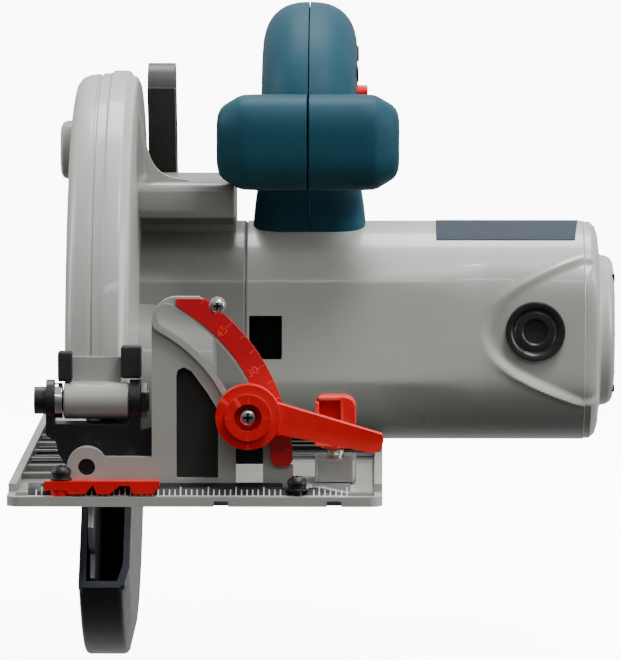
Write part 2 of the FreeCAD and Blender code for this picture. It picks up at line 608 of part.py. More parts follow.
def depth_arm():
    """Curved pillar about the depth pivot, with the slot of the depth lock and a foot at the rear bevel ear."""
    centre = ("pivot_y", "pivot_z")
    low = "depth_bolt_angle - 2"
    high = "depth_bolt_angle + depth_range + 1.5"

    def sector(radius, start, deep):
        return rod("X", start, deep, centre, radius)

    outer = sector("depth_slot_radius + arm_width / 2", "arm_left", "arm_thickness")
    inner = sector("depth_slot_radius - arm_width / 2", "arm_left - 1", "arm_thickness + 2")
    keep_top = "pivot_z + (depth_slot_radius) * sin(%s) + 2" % high
    keep = box(("arm_left - 1", "0", "arm_foot"), ("arm_left + arm_thickness + 1", "arm_foot_rear", keep_top))
    band = doc.addObject("Part::Common", "band")
    band.Base = cut(outer, inner)
    band.Tool = keep

    def spot(angle):
        return ("pivot_y + depth_slot_radius * cos(%s)" % angle, "pivot_z + depth_slot_radius * sin(%s)" % angle)

    cap = rod("X", "arm_left", "arm_thickness", spot(high), "arm_width / 2")
    half = "depth_slot_width / 2"
    slot = cut(
        sector("depth_slot_radius + " + half, "arm_left - 1", "arm_thickness + 2"),
        sector("depth_slot_radius - " + half, "arm_left - 2", "arm_thickness + 4"),
    )
    slot_keep = box(
        ("arm_left - 1", "0", "pivot_z + depth_slot_radius * sin(%s)" % low),
        ("arm_left + arm_thickness + 1", "arm_foot_rear", "pivot_z + depth_slot_radius * sin(%s)" % high),
    )
    groove = doc.addObject("Part::Common", "groove")
    groove.Base = slot
    groove.Tool = slot_keep
    ends = [rod("X", "arm_left - 1", "arm_thickness + 2", spot(angle), half) for angle in (low, high)]
    rail = box(
        ("arm_left", "pivot_y + depth_slot_radius - 8", "arm_foot"),
        ("arm_left + arm_thickness", "arm_foot_rear", "arm_foot + 12"),
    )
    cross = box(
        ("bevel_x - ear_radius", "slot_rear + 4", "arm_foot"),
        ("arm_left + arm_thickness", "arm_foot_rear", "arm_foot + 12"),
    )
    pin = rod("Y", "slot_rear", "20", ("bevel_x", "bevel_z"), "bevel_pin_radius - running_gap")
    node(cut(fuse(band, cap, rail, cross), groove, *ends, pin), "depth_arm")


def bevel_clamp():
    """Clamp bolt in the quadrant's slot, with its red lever and cross-head screw."""
    spot = on_arc("slot_radius", "bolt_angle")
    back = "quadrant_front - lip_height - 0.8"
    bolt = rod("Y", back + " - 3", "bracket_front + plate_thickness - (%s) + 3" % back, spot, "bevel_bolt_radius")
    node(bolt, "bevel_bolt")
    hub = rod("Y", back + " - 8.5", "8.5", spot, "11.7")
    step = ring("Y", back + " - 10", "2.5", spot, "8.4", "4.9")
    bore = rod("Y", back + " - 3.3", "4", spot, "bevel_bolt_radius + running_gap")
    recess = rod("Y", back + " - 11", "5", spot, "4.9")
    arm = pad(
        body("arm_tool"), "XZ",
        [[
            (spot[0] + " + 4", spot[1] + " + 7.4"), (spot[0] + " + 11", spot[1] + " + 4.9"),
            (spot[0] + " + 48.2", spot[1] + " - 6.2"), (spot[0] + " + 48.8", spot[1] + " - 8.4"),
            (spot[0] + " + 47.6", spot[1] + " - 12.4"), (spot[0] + " + 44", spot[1] + " - 12.8"),
            (spot[0] + " + 12", spot[1] + " - 6.4"), (spot[0] + " + 4", spot[1] + " - 7"),
        ]],
        back + " - 7.5", "6.5",
    )
    node(cut(fuse(hub, step, arm), bore, recess), "bevel_lever")
    screw = cut(rod("Y", back + " - 9.2", "3.2", spot, "3.2"), box(
        (spot[0] + " - 0.5", back + " - 10", spot[1] + " - 1.8"),
        (spot[0] + " + 0.5", back + " - 8.4", spot[1] + " + 1.8"),
    ))
    node(screw, "lever_screw")


# ---------------------------------------------------------------- guards


def lower_guard():
    axis = ("blade_y", "blade_z")
    wall = "lower_wall"
    profile = [
        ("lower_left", "lower_inner"), ("lower_left", "lower_outer"),
        ("lower_right - 3", "lower_outer"), ("lower_right", "lower_outer - lower_bevel"),
        ("lower_right", "nose_radius + body_gap + 1"), ("lower_right - " + wall, "nose_radius + body_gap + 1"),
        ("lower_right - " + wall, "lower_outer - lower_bevel - 0.8"),
        ("lower_right - 3.8", "lower_outer - " + wall), ("lower_left + " + wall, "lower_outer - " + wall),
        ("lower_left + " + wall, "lower_inner"),
    ]
    shell = turned(body("lower_shell"), profile, axis, "lower_start", "lower_span")
    hub = ring("X", "lower_right - 4.6", "4.6", axis, "nose_radius + hub_wall", "nose_radius + body_gap")
    tab_spot = (
        "blade_y - (lower_outer - 1.2) * sin(tab_angle)",
        "blade_z + (lower_outer - 1.2) * cos(tab_angle)",
    )
    tab = rod("X", "lower_left + 3", "10", tab_spot, "2.2")
    node(fuse(shell, hub, tab), "lower_guard")
    coil = ring("X", "lower_right - 7", "2.2", axis, "nose_radius + 4", "nose_radius + 2")
    node(coil, "guard_spring")


def upper_guard():
    axis = ("blade_y", "blade_z")
    side = "upper_side"
    inner = "upper_outer - upper_rim"
    profile = [
        ("upper_left", "upper_eye"), ("upper_left", "upper_outer - 5"), ("upper_left + 4", "upper_outer"),
        ("upper_right - 4", "upper_outer"), ("upper_right", "upper_outer - 5"), ("upper_right", "nose_radius + 0.1"),
        ("upper_right - side_wall_right", "nose_radius + 0.1"), ("upper_right - side_wall_right", inner),
        ("upper_left + " + side, inner), ("upper_left + " + side, "upper_eye"),
    ]
    shell = turned(body("upper_shell"), profile, axis, "upper_start", "upper_span")
    boss = rod("X", "boss_left", "boss_right - boss_left", ("pivot_y", "pivot_z"), "boss_radius")
    bridge = box(
        ("boss_left", "pivot_y", "pivot_z"), ("boss_right", "blade_y - (%s) - 0.5" % inner, "pivot_z + boss_radius"),
    )
    bulge = rod("X", "upper_left - 6", "6", ("blade_y", "blade_z + 84"), "11")
    bore = rod("X", "boss_left - 1", "40", ("pivot_y", "pivot_z"), "pivot_bolt_radius + running_gap")
    inside = rod("X", "upper_left + " + side, "upper_right - side_wall_right - upper_left - " + side, axis, inner)
    lock_spot = (
        "pivot_y + depth_slot_radius * cos(depth_bolt_angle)",
        "pivot_z + depth_slot_radius * sin(depth_bolt_angle)",
    )
    hole = rod("X", "upper_right - 5", "8", lock_spot, "2.5")
    chute = box(
        ("upper_left + 3", "blade_y + 70", "blade_z + 60"), ("upper_right - 3", "blade_y + 120", "blade_z + 92"),
    )
    chute_hole = box(
        ("upper_left + 5", "blade_y + 60", "blade_z + 62"), ("upper_right - 5", "blade_y + 122", "blade_z + 90"),
    )
    node(cut(fuse(shell, boss, bridge, bulge, chute), bore, inside, hole, chute_hole), "upper_guard")


def bumpers():
    """Rubber stops at the guard's front foot."""
    left = box(("boss_left - 2.2", "pivot_y - 3", "pivot_z + 7"), ("boss_left + 3", "pivot_y + 3", "pivot_z + 18"))
    right = box(("boss_right - 3", "pivot_y - 3", "pivot_z + 8.2"), ("boss_right + 4.5", "pivot_y + 3", "pivot_z + 20"))
    node(group(left, right), "bumpers")


# ---------------------------------------------------------------- spindle and gears


def gear_outline(teeth, module, phase, backlash=0.14, pressure=20.0, addendum=0.85, dedendum=1.3):
    """Corner points of an involute gear about the origin; a tooth is centred on the angle phase."""
    pitch = module * teeth / 2
    base = pitch * math.cos(math.radians(pressure))
    tip = pitch + addendum * module
    root = pitch - dedendum * module

    def involute(radius):
        if radius <= base:
            return 0.0
        turn = math.acos(base / radius)
        return math.tan(turn) - turn

    half = (1 - backlash) * math.pi / (2 * teeth) + involute(pitch)
    radii = [root, max(base, root + 0.02), (max(base, root) + pitch) / 2, pitch, (pitch + tip) / 2, tip]
    points = []
    for i in range(teeth):
        middle = phase + 2 * math.pi * i / teeth
        flank = [(r, half - involute(r)) for r in radii]
        points += [(r, middle - a) for r, a in flank]
        points += [(r, middle + a) for r, a in reversed(flank)]
    return [FreeCAD.Vector(0, r * math.cos(a), r * math.sin(a)) for r, a in points]


def gear(teeth, phase, start, width, bore, at):
    points = gear_outline(teeth, size("gear_module"), phase)
    face = Part.Face(Part.makePolygon(points + points[:1]))
    solid = face.extrude(FreeCAD.Vector(width, 0, 0))
    hole = Part.makeCylinder(bore, width + 2, FreeCAD.Vector(-1, 0, 0), FreeCAD.Vector(1, 0, 0))
    wheel = doc.addObject("Part::Feature", "gear")
    wheel.Shape = solid.cut(hole)
    wheel.Placement = FreeCAD.Placement(FreeCAD.Vector(start, *at), FreeCAD.Rotation())
    return wheel


def gears():
    """The pinion has a tooth gap where the large gear has a tooth, on the line of centres."""
    centres = size("gear_module") * (size("gear_teeth") + size("pinion_teeth")) / 2
    rise = size("motor_rise")
    offset = math.sqrt(centres ** 2 - rise ** 2)
    line = math.atan2(rise, offset)
    teeth, small = int(size("gear_teeth")), int(size("pinion_teeth"))
    y, z = size("blade_y"), size("blade_z")
    left, width = size("gear_left"), size("gear_width")
    node(gear(teeth, line, left, width, size("spindle_radius"), (y, z)), "spindle_gear")
    phase = line + math.pi + math.pi / small
    node(gear(small, phase, left - 0.5, width + 2, size("pinion_shaft"), (y + offset, z + rise)), "pinion")


def blade():
    """Circular blade: a disc with gullets and carbide tips."""
    radius, plate, teeth = size("blade_radius"), size("blade_plate"), int(size("blade_teeth"))
    deep, kerf = size("tooth_depth"), size("kerf")
    points = []
    for i in range(teeth):
        step = 2 * math.pi / teeth
        start = i * step
        for share, depth in ((0, 0.4), (0.42, 1.6), (0.66, deep), (0.8, deep + 1), (0.93, deep * 0.75)):
            points.append((radius - depth, start + share * step))
        points.append((radius - 0.4, start + step * 0.995))
    corners = [FreeCAD.Vector(0, r * math.cos(a), r * math.sin(a)) for r, a in points]
    disc = Part.Face(Part.makePolygon(corners + corners[:1])).extrude(FreeCAD.Vector(plate, 0, 0))
    across = FreeCAD.Vector(1, 0, 0)
    disc = disc.cut(Part.makeCylinder(size("blade_bore"), plate + 2, FreeCAD.Vector(-1, 0, 0), across))
    whole = doc.addObject("Part::Feature", "blade")
    whole.Shape = disc.removeSplitter()
    left = size("blade_x") - plate / 2
    whole.Placement = FreeCAD.Placement(
        FreeCAD.Vector(left, size("blade_y"), size("blade_z")), FreeCAD.Rotation()
    )
    node(whole, "blade")


def spindle():
    axis = ("blade_y", "blade_z")
    half = "blade_plate / 2"
    inner = ring("X", "blade_x + " + half, "flange_thickness", axis, "flange_radius", "spindle_radius")
    node(inner, "inner_flange")
    outer_left = "blade_x - %s - flange_thickness" % half
    outer = ring("X", outer_left, "flange_thickness", axis, "flange_radius", "6")
    node(outer, "outer_flange")
    washer = rod("X", "bolt_left + bolt_head", "(%s) - bolt_left - bolt_head" % outer_left, axis, "bolt_washer_radius")
    head = hexagon("bolt_left", "bolt_head + 0.5", axis, "bolt_hex")
    shank = rod("X", outer_left + " - 1", "flange_thickness + 1", axis, "6")
    node(fuse(washer, head, shank), "blade_bolt")
    shaft = turned(
        body("spindle_tool"),
        [
            ("blade_x - " + half, 0), ("blade_x - " + half, "blade_bore - 0.05"), ("blade_x + " + half, "blade_bore - 0.05"),
            ("blade_x + " + half, "spindle_radius"), ("case_right - 18", "spindle_radius"),
            ("case_right - 18", "5"), ("case_right - 10.5", "5"), ("case_right - 10.5", 0),
        ],
        axis,
    )
    node(shaft, "spindle")


def bearings():
    """Ball bearings shown as their closed rings: two of the spindle and two of the motor shaft."""
    blade_axis = ("blade_y", "blade_z")
    motor_axis = (MOTOR_Y, MOTOR_Z)
    front = ring("X", "upper_right - 5", "bearing_width", blade_axis, "17", "spindle_radius + running_gap")
    rear = ring("X", "case_right - 17", "bearing_width", blade_axis, "bearing_radius", "5 + running_gap")
    node(group(front, rear), "spindle_bearings")
    near = ring("X", "-9", "bearing_width", motor_axis, "bearing_radius", "shaft_radius + running_gap")
    far = ring("X", "housing_right - 2", "bearing_width", motor_axis, "bearing_radius", "shaft_radius + running_gap")
    node(group(near, far), "motor_bearings")


# ---------------------------------------------------------------- gear case and motor


def gear_case():
    blade_axis, motor_axis = ("blade_y", "blade_z"), (MOTOR_Y, MOTOR_Z)
    left = "upper_right + 0.05"
    long = "case_right - (%s)" % left
    gear_room = "gear_module * (gear_teeth + 2) / 2 + case_gap"
    blade_side = rod("X", left, long, blade_axis, "%s + case_wall" % gear_room)
    motor_side = rod("X", left, long, motor_axis, "motor_radius")
    bridge = box(
        (left, "blade_y", "blade_z - 18"), ("case_right", MOTOR_Y, MOTOR_Z + " + 20"),
    )
    ledge = pad(
        body("ledge_tool"), "YZ",
        [[
            ("ledge_foot", "ledge_low"), ("ledge_foot", "ledge_bottom"), ("ledge_front", "ledge_bottom"),
            ("ledge_front", "ledge_top - 4"), ("ledge_front + 4", "ledge_top"), ("ledge_rear", "ledge_top"),
            ("ledge_rear + 6", "ledge_low"),
        ]],
        left, "case_right - 4 - (%s)" % left,
    )
    nose = rod("X", "upper_right - 6", "7", blade_axis, "nose_radius")
    room = rod("X", "gear_left - 1.2", "gear_width + 2.4", blade_axis, gear_room)
    small_room = rod("X", "gear_left - 1.7", "gear_width + 5", motor_axis, "8")
    front_seat = rod("X", "upper_right - 5", "bearing_width", blade_axis, "17")
    neck = rod("X", "upper_right - 7", "12", blade_axis, "spindle_radius + 2")
    rear_seat = rod("X", "case_right - 17", "bearing_width", blade_axis, "bearing_radius")
    rear_neck = rod("X", "-12", "14", blade_axis, "spindle_radius + 1")
    motor_seat = rod("X", "-9", "bearing_width", motor_axis, "bearing_radius")
    shaft_way = rod("X", "-14", "40", motor_axis, "shaft_radius + 1.5")
    open_end = rod("X", "case_right - 10", "12", motor_axis, "motor_bore")
    button_way = rod("Y", "ledge_rear - 9", "20", ("lock_button_x", "lock_button_z"), "lock_button_radius + 0.1")
    tools = [room, small_room, front_seat, neck, rear_seat, rear_neck, motor_seat, shaft_way, button_way]
    hollow = cut(fuse(blade_side, motor_side, bridge, ledge, nose), *tools)
    node(cut(hollow, cut(open_end, rod("X", "case_right - 11", "8", blade_axis, "14"))), "gear_case")


def motor_housing():
    axis = (MOTOR_Y, MOTOR_Z)
    left = "case_right + 0.1"
    long = "housing_right - (%s)" % left
    shell = rod("X", left, long, axis, "motor_radius")
    facet = box(
        ("case_right - 1", MOTOR_Y + " - motor_radius - 1", "0"),
        ("cap_right", MOTOR_Y + " - motor_facet", "120"),
    )
    facet_rear = box(
        ("case_right - 1", MOTOR_Y + " + motor_facet", "0"),
        ("cap_right", MOTOR_Y + " + motor_radius + 1", "120"),
    )
    bore = rod("X", left + " - 1", "housing_right - 8 - (%s) + 1" % left, axis, "motor_bore")
    end_bore = rod("X", "housing_right - 9", "12", axis, "bearing_radius + 3")
    brush_ways = []
    for side in ("-1", "1"):
        start = MOTOR_Y if side == "1" else MOTOR_Y + " - motor_radius - 1"
        brush_ways.append(rod("Y", start, "motor_radius + 1", ("brush_x", "brush_z"), "brush_ring_radius + 0.1"))
    vents = []
    for i in range(5):
        low = "case_right + 6 + %d * 3.4" % i
        vents.append(box(
            (low, MOTOR_Y + " - 12", MOTOR_Z + " - motor_radius - 1"),
            (low + " + 1.8", MOTOR_Y + " + 12", MOTOR_Z + " - motor_bore + 1"),
        ))
    vent = box(
        ("case_right + 1", MOTOR_Y + " - motor_radius - 1", "42"),
        ("case_right + 13.7", MOTOR_Y + " - motor_bore + 3", "58"),
    )
    seat = box(
        ("label_left - 0.1", MOTOR_Y + " - label_depth / 2 - 0.1", MOTOR_Z + " + motor_radius - 2.4"),
        ("label_right + 0.1", MOTOR_Y + " + label_depth / 2 + 0.1", "120"),
    )
    node(cut(shell, facet, facet_rear, bore, end_bore, vent, seat, *brush_ways, *vents), "motor_housing")
    plate = box(
        ("label_left", MOTOR_Y + " - label_depth / 2", MOTOR_Z + " + motor_radius - 2.3"),
        ("label_right", MOTOR_Y + " + label_depth / 2", MOTOR_Z + " + motor_radius - 2.3 + label_thickness"),
    )
    node(plate, "label_plate")


def end_cap():
    axis = (MOTOR_Y, MOTOR_Z)
    left = "housing_right + 0.1"
    shell = turned(
        body("cap_tool"),
        [
            (left, "bearing_radius"), (left, "motor_facet - 0.5"), ("cap_right - 7", "motor_facet - 0.5"),
            ("cap_right", "cap_bore"), ("cap_right", 0), ("cap_right - 3", 0), ("cap_right - 3", "cap_bore - 4"),
            ("cap_right - 6", "cap_bore"), (left + " + 2.5", "cap_bore"), (left + " + 2.5", "bearing_radius + 4"),
            ("housing_right + 6", "bearing_radius + 3"), ("housing_right + 6", "bearing_radius"),
        ],
        axis,
    )
    slots = []
    for i in range(-3, 4):
        z = MOTOR_Z + " + %d * 7" % i
        slots.append(box(("cap_right - 4", MOTOR_Y + " - 18", z), ("cap_right + 1", MOTOR_Y + " + 18", z + " + 3")))
    node(cut(shell, *slots), "end_cap")


def stator():
    axis = (MOTOR_Y, MOTOR_Z)
    long = "stator_right - stator_left"
    core = ring("X", "stator_left", long, axis, "motor_bore - 0.1", "stator_bore")
    node(core, "field_stator")
    coils = []
    for start in ("stator_left - coil_length - 0.1", "stator_right + 0.1"):
        coils.append(ring("X", start, "coil_length", axis, "motor_bore - 4", "stator_bore + 1"))
    node(group(*coils), "field_coils")


def armature():
    axis = (MOTOR_Y, MOTOR_Z)
    shaft = turned(
        body("armature_tool"),
        [
            ("gear_left - 1.5", 0), ("gear_left - 1.5", "pinion_shaft"), ("gear_left + gear_width + 1.6", "pinion_shaft"),
            ("gear_left + gear_width + 1.6", "shaft_radius"), ("housing_right + 5", "shaft_radius"),
            ("housing_right + 5", 0),
        ],
        axis,
    )
    node(shaft, "armature_shaft")
    core = ring("X", "stator_left", "stator_right - stator_left", axis, "stator_bore - core_gap", "shaft_radius")
    node(core, "armature_core")
    copper = ring(
        "X", "brush_x - commutator_length / 2", "commutator_length", axis, "commutator_radius", "shaft_radius"
    )
    node(copper, "commutator")
    windings = []
    for start in ("stator_left - 7.5", "stator_right + 0.1"):
        windings.append(ring("X", start, "7.4", axis, "stator_bore - 4", "shaft_radius"))
    node(group(*windings), "armature_windings")
    hub = ring("X", "fan_left", "fan_width", axis, "9", "shaft_radius")
    plate = ring("X", "fan_left + fan_width - fan_blade", "fan_blade", axis, "fan_radius", "8.5")
    blades = []
    for i in range(int(size("fan_blades"))):
        vane = box(("fan_left", "0", "8"), ("fan_left + fan_width", "fan_blade", "fan_radius"))
        turn = FreeCAD.Rotation(FreeCAD.Vector(1, 0, 0), 360.0 * i / size("fan_blades"))
        holder = doc.addObject("Part::Compound", "vane")
        holder.Links = [vane]
        blades.append(place(holder, ("0", MOTOR_Y, MOTOR_Z), turn))
    node(fuse(hub, plate, *blades), "cooling_fan")


def brushes():
    """Brush holders, their caps and the carbon brushes, front and rear."""
    holders, caps, carbons = [], [], []
    reach = "commutator_radius"
    for side in (-1, 1):
        near = "%d * (%s + 0.2)" % (side, reach)
        middle = "%d * (motor_bore - 8)" % side
        far = "%d * (motor_facet - 3)" % side
        half = "brush_width / 2"
        top = "%s + brush_width / 2" % MOTOR_Z
        bottom = "%s - brush_width / 2" % MOTOR_Z
        carbon_low, carbon_high = (middle, near) if side < 0 else (near, middle)
        carbons.append(box(
            ("brush_x - " + half, "%s + %s" % (MOTOR_Y, carbon_low), bottom),
            ("brush_x + " + half, "%s + %s" % (MOTOR_Y, carbon_high), top),
        ))
        holder_start = "%s + %s" % (MOTOR_Y, far if side < 0 else "commutator_radius + 2")
        holder_long = "motor_facet - 3 - commutator_radius - 2"
        holder = rod("Y", holder_start, holder_long, ("brush_x", MOTOR_Z), "8")
        way = box(
            ("brush_x - %s - 0.1" % half, MOTOR_Y + " - 50", bottom + " - 0.1"),
            ("brush_x + %s + 0.1" % half, MOTOR_Y + " + 50", top + " + 0.1"),
        )
        holders.append(cut(holder, way))
        face = "%s - motor_facet" % MOTOR_Y if side < 0 else "%s + motor_facet - 2.9" % MOTOR_Y
        outer = ring("Y", face, "2.9", ("brush_x", "brush_z"), "brush_ring_radius", "brush_cap_radius + 0.1")
        cap = rod("Y", face, "2.2", ("brush_x", "brush_z"), "brush_cap_radius")
        caps.append(fuse(outer, cap, ring("Y", face, "2.2", ("brush_x", "brush_z"), "brush_cap_radius + 0.6", "2")))
    node(group(*holders), "brush_holders")
    node(group(*caps), "brush_caps")
    node(group(*carbons), "carbon_brushes")


# ---------------------------------------------------------------- handle

HANDLE_OUTER = [
    (3, 78), (2, 98), (-8, 107), (-32, 111), (-42, 128), (-34, 146), (-12, 164), (12, 173), (40, 174.5), (75, 167),
    (104, 148), (120, 120), (121, 92), (107, 68), (86, 53), (52, 48), (52, 70), (76, 82), (90, 100), (88, 120),
    (70, 131), (36, 133), (24, 128), (20, 114), (24, 100), (36, 86), (34, 76),
]


def handle_shell(side, name):
    """One half of the handle loop with its half of the front grip, open on the seam."""
    corners = [(str(y), str(z)) for y, z in HANDLE_OUTER]
    start = "seam_x" if side > 0 else "seam_x - handle_half"
    loop = pad(body(name + "_loop"), "YZ", [corners], start, "handle_half")
    switch_room = [("20", "138"), ("92", "138"), ("78", "158"), ("20", "162")]
    room_start = "seam_x" if side > 0 else "seam_x - handle_half + handle_wall"
    pocket(loop, "YZ", [switch_room], room_start, "handle_half - handle_wall")
    slot = rectangle("trigger_front - 0.6", "handle_under - 12", "trigger_rear + 0.6", "150")
    slot_start = "seam_x" if side > 0 else "seam_x - trigger_width / 2 - 0.3"
    pocket(loop, "YZ", [slot], slot_start, "trigger_width / 2 + 0.3")
    centre = ("grip_y", "grip_z")
    straight = "grip_half - grip_end"
    start = "seam_x" if side > 0 else "seam_x - (%s)" % straight
    bar = rod("X", start, straight, centre, "grip_radius")
    tip = doc.addObject("Part::Cone", "tip")
    bind(tip, Radius1="grip_radius", Radius2="grip_radius * 0.6", Height="grip_end")
    turn = FreeCAD.Rotation(FreeCAD.Vector(0, 1, 0), 90 * side)
    place(tip, ("seam_x + %d * (%s)" % (side, straight), *centre), turn)
    neck_low, neck_high = ("seam_x", "seam_x + neck_half") if side > 0 else ("seam_x - neck_half", "seam_x")
    neck = box((neck_low, "2", "70"), (neck_high, "30", "104"))
    seat = rod("X", "-10", "120", (MOTOR_Y, MOTOR_Z), "motor_radius + 0.1")
    button = rod("X", "seam_x", "handle_half + 4", ("button_y", "button_z"), "button_radius + 0.3")
    ledge = box(("-30", "-40", "60"), ("case_right - 3.6", "60", "ledge_top + 0.2"))
    whole = cut(fuse(loop, bar, tip, neck), seat, ledge, *([button] if side > 0 else []))
    if side < 0:
        doc.removeObject(button.Name)
    node(whole, name)


def handle_parts():
    low, high = "seam_x - trigger_width / 2", "seam_x + trigger_width / 2"
    trigger = pad(
        body("trigger"), "YZ",
        [[
            ("trigger_front", "trigger_top"), ("trigger_front", "trigger_low + 7"), ("trigger_front + 6", "trigger_low + 3"),
            ("trigger_rear - 7", "trigger_low"), ("trigger_rear", "trigger_low + 5"), ("trigger_rear", "trigger_top"),
        ]],
        low, "trigger_width",
    )
    node(trigger, "trigger")
    switch = box((low, "60", "141"), (high, "80", "155"))
    node(switch, "switch_block")
    start = "seam_x + handle_half - 6"
    button = rod("X", start, "button_right - (%s)" % start, ("button_y", "button_z"), "button_radius")
    node(button, "lock_off_button")
    screws = []
    for y, z in ((8, 148), (104, 108), (94, 80), (46, 154)):
        screws.append(rod("X", "seam_x + handle_half", "0.8", (str(y), str(z)), "3"))
    node(group(*screws), "handle_screws")
    gland = turned(
        body("cord_gland"),
        [(0, 0), (0, "gland_radius"), ("gland_length", "gland_radius - 1.5"), ("gland_length", 0)],
        ("0", "0"),
    )
    gland.Placement = FreeCAD.Placement(FreeCAD.Vector(), FreeCAD.Rotation(FreeCAD.Vector(0, 0, 1), 90))
    place(gland, ("seam_x", "121.2", "104"))
    node(gland, "cord_gland")


def locks():
    """Depth lock bolt with its lever, and the spindle lock button on the gear case."""
    spot = (
        "pivot_y + depth_slot_radius * cos(depth_bolt_angle)",
        "pivot_z + depth_slot_radius * sin(depth_bolt_angle)",
    )
    right = "arm_left + arm_thickness"
    node(rod("X", "upper_right - side_wall_right + 0.1", "%s + 6 - upper_right + 1.3" % right, spot, "2.5"),
         "depth_bolt")
    hub = rod("X", right + " + body_gap", "7.5", spot, "7")
    arm = box(
        (right + " + 2.5", spot[0] + " - 3", spot[1] + " - 30"), (right + " + 7.5", spot[0] + " + 5", spot[1]),
    )
    bore = rod("X", right, "7", spot, "2.5 + running_gap")
    node(cut(fuse(hub, arm), bore), "depth_lever")
    button = rod("Y", "ledge_rear - 4", "9.5", ("lock_button_x", "lock_button_z"), "lock_button_radius")
    node(button, "spindle_lock_button")


PIECES = (
    base_plate, ruler_and_guide, base_screws, front_quadrant, bevel_scale, scale_screws, fence_clamp, rear_bracket,
    tilt_bracket, bevel_pins, depth_pivot, depth_arm, bevel_clamp, lower_guard, upper_guard, bumpers, gears, blade,
    spindle, bearings, gear_case, motor_housing, end_cap, stator, armature, brushes, handle_parts, locks,
)
for piece in PIECES:
    piece()
handle_shell(-1, "handle_left")
handle_shell(1, "handle_right")
doc.recompute()

for thing in doc.Objects:
    if "Invalid" in thing.State or "Error" in thing.State:
        raise RuntimeError("%s (%s) failed: %s" % (thing.Name, thing.Label, thing.State))
for thing in NODES:
    if thing.Shape.isNull() or not thing.Shape.isValid():
        raise RuntimeError("%s has no valid shape" % thing.Label)
os.makedirs("parts", exist_ok=True)
for thing in NODES:
    thing.Shape.exportStep("parts/%s.step" % thing.Label)
    print(thing.Label, len(thing.Shape.Solids), round(thing.Shape.Volume))
print(len(NODES), "nodes")
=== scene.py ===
"""Looks of the circular saw: detailed casings, grips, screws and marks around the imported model.

Lengths are in millimetres until a mesh is made. The front of the saw faces -Y and the motor points to +X.
"""

import bmesh
import bpy
import math
import numpy as np
from mathutils import Matrix, Vector


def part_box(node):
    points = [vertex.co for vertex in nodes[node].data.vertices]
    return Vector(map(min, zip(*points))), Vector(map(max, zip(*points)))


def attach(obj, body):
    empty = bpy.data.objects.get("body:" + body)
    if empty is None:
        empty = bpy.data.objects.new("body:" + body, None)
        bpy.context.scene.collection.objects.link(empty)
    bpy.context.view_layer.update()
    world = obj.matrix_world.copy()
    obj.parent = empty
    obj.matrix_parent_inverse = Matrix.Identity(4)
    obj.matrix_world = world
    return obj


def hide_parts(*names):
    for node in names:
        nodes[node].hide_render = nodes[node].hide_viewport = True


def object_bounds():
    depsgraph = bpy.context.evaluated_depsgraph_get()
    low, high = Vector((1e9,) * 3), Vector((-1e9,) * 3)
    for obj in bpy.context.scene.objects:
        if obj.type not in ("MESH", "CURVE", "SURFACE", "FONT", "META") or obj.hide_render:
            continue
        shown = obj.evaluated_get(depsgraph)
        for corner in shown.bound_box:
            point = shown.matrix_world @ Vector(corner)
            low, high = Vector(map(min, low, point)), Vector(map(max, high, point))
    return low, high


MM = 0.001
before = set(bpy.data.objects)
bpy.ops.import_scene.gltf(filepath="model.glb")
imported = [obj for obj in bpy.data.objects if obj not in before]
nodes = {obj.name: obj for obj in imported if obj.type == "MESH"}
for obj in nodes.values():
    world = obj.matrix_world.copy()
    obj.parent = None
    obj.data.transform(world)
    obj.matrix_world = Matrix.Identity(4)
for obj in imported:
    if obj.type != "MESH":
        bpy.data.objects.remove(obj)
cad_low, cad_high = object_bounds()


def box(name):
    """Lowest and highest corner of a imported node, in millimetres."""
    low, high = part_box(name)
    return low / MM, high / MM


def middle(name):
    low, high = box(name)
    return (low + high) / 2


HOUSING_LOW, HOUSING_HIGH = box("motor_housing")
AXIS_Y = middle("motor_housing").y
AXIS_Z = middle("motor_housing").z
RADIUS = (HOUSING_HIGH.z - HOUSING_LOW.z) / 2
BLADE = middle("blade")
BRUSH = middle("brush_caps")
BASE_LOW, BASE_HIGH = box("base_plate")
SEAM_X = box("handle_right")[0].x
BEVEL_PIVOT = (-39.0, 13.5)
DEPTH_PIVOT = (-124.0, 36.5)

# ---------------------------------------------------------------- materials


def srgb(red, green, blue):
    def linear(value):
        value /= 255
        return value / 12.92 if value <= 0.04045 else ((value + 0.055) / 1.055) ** 2.4

    return (linear(red), linear(green), linear(blue), 1.0)


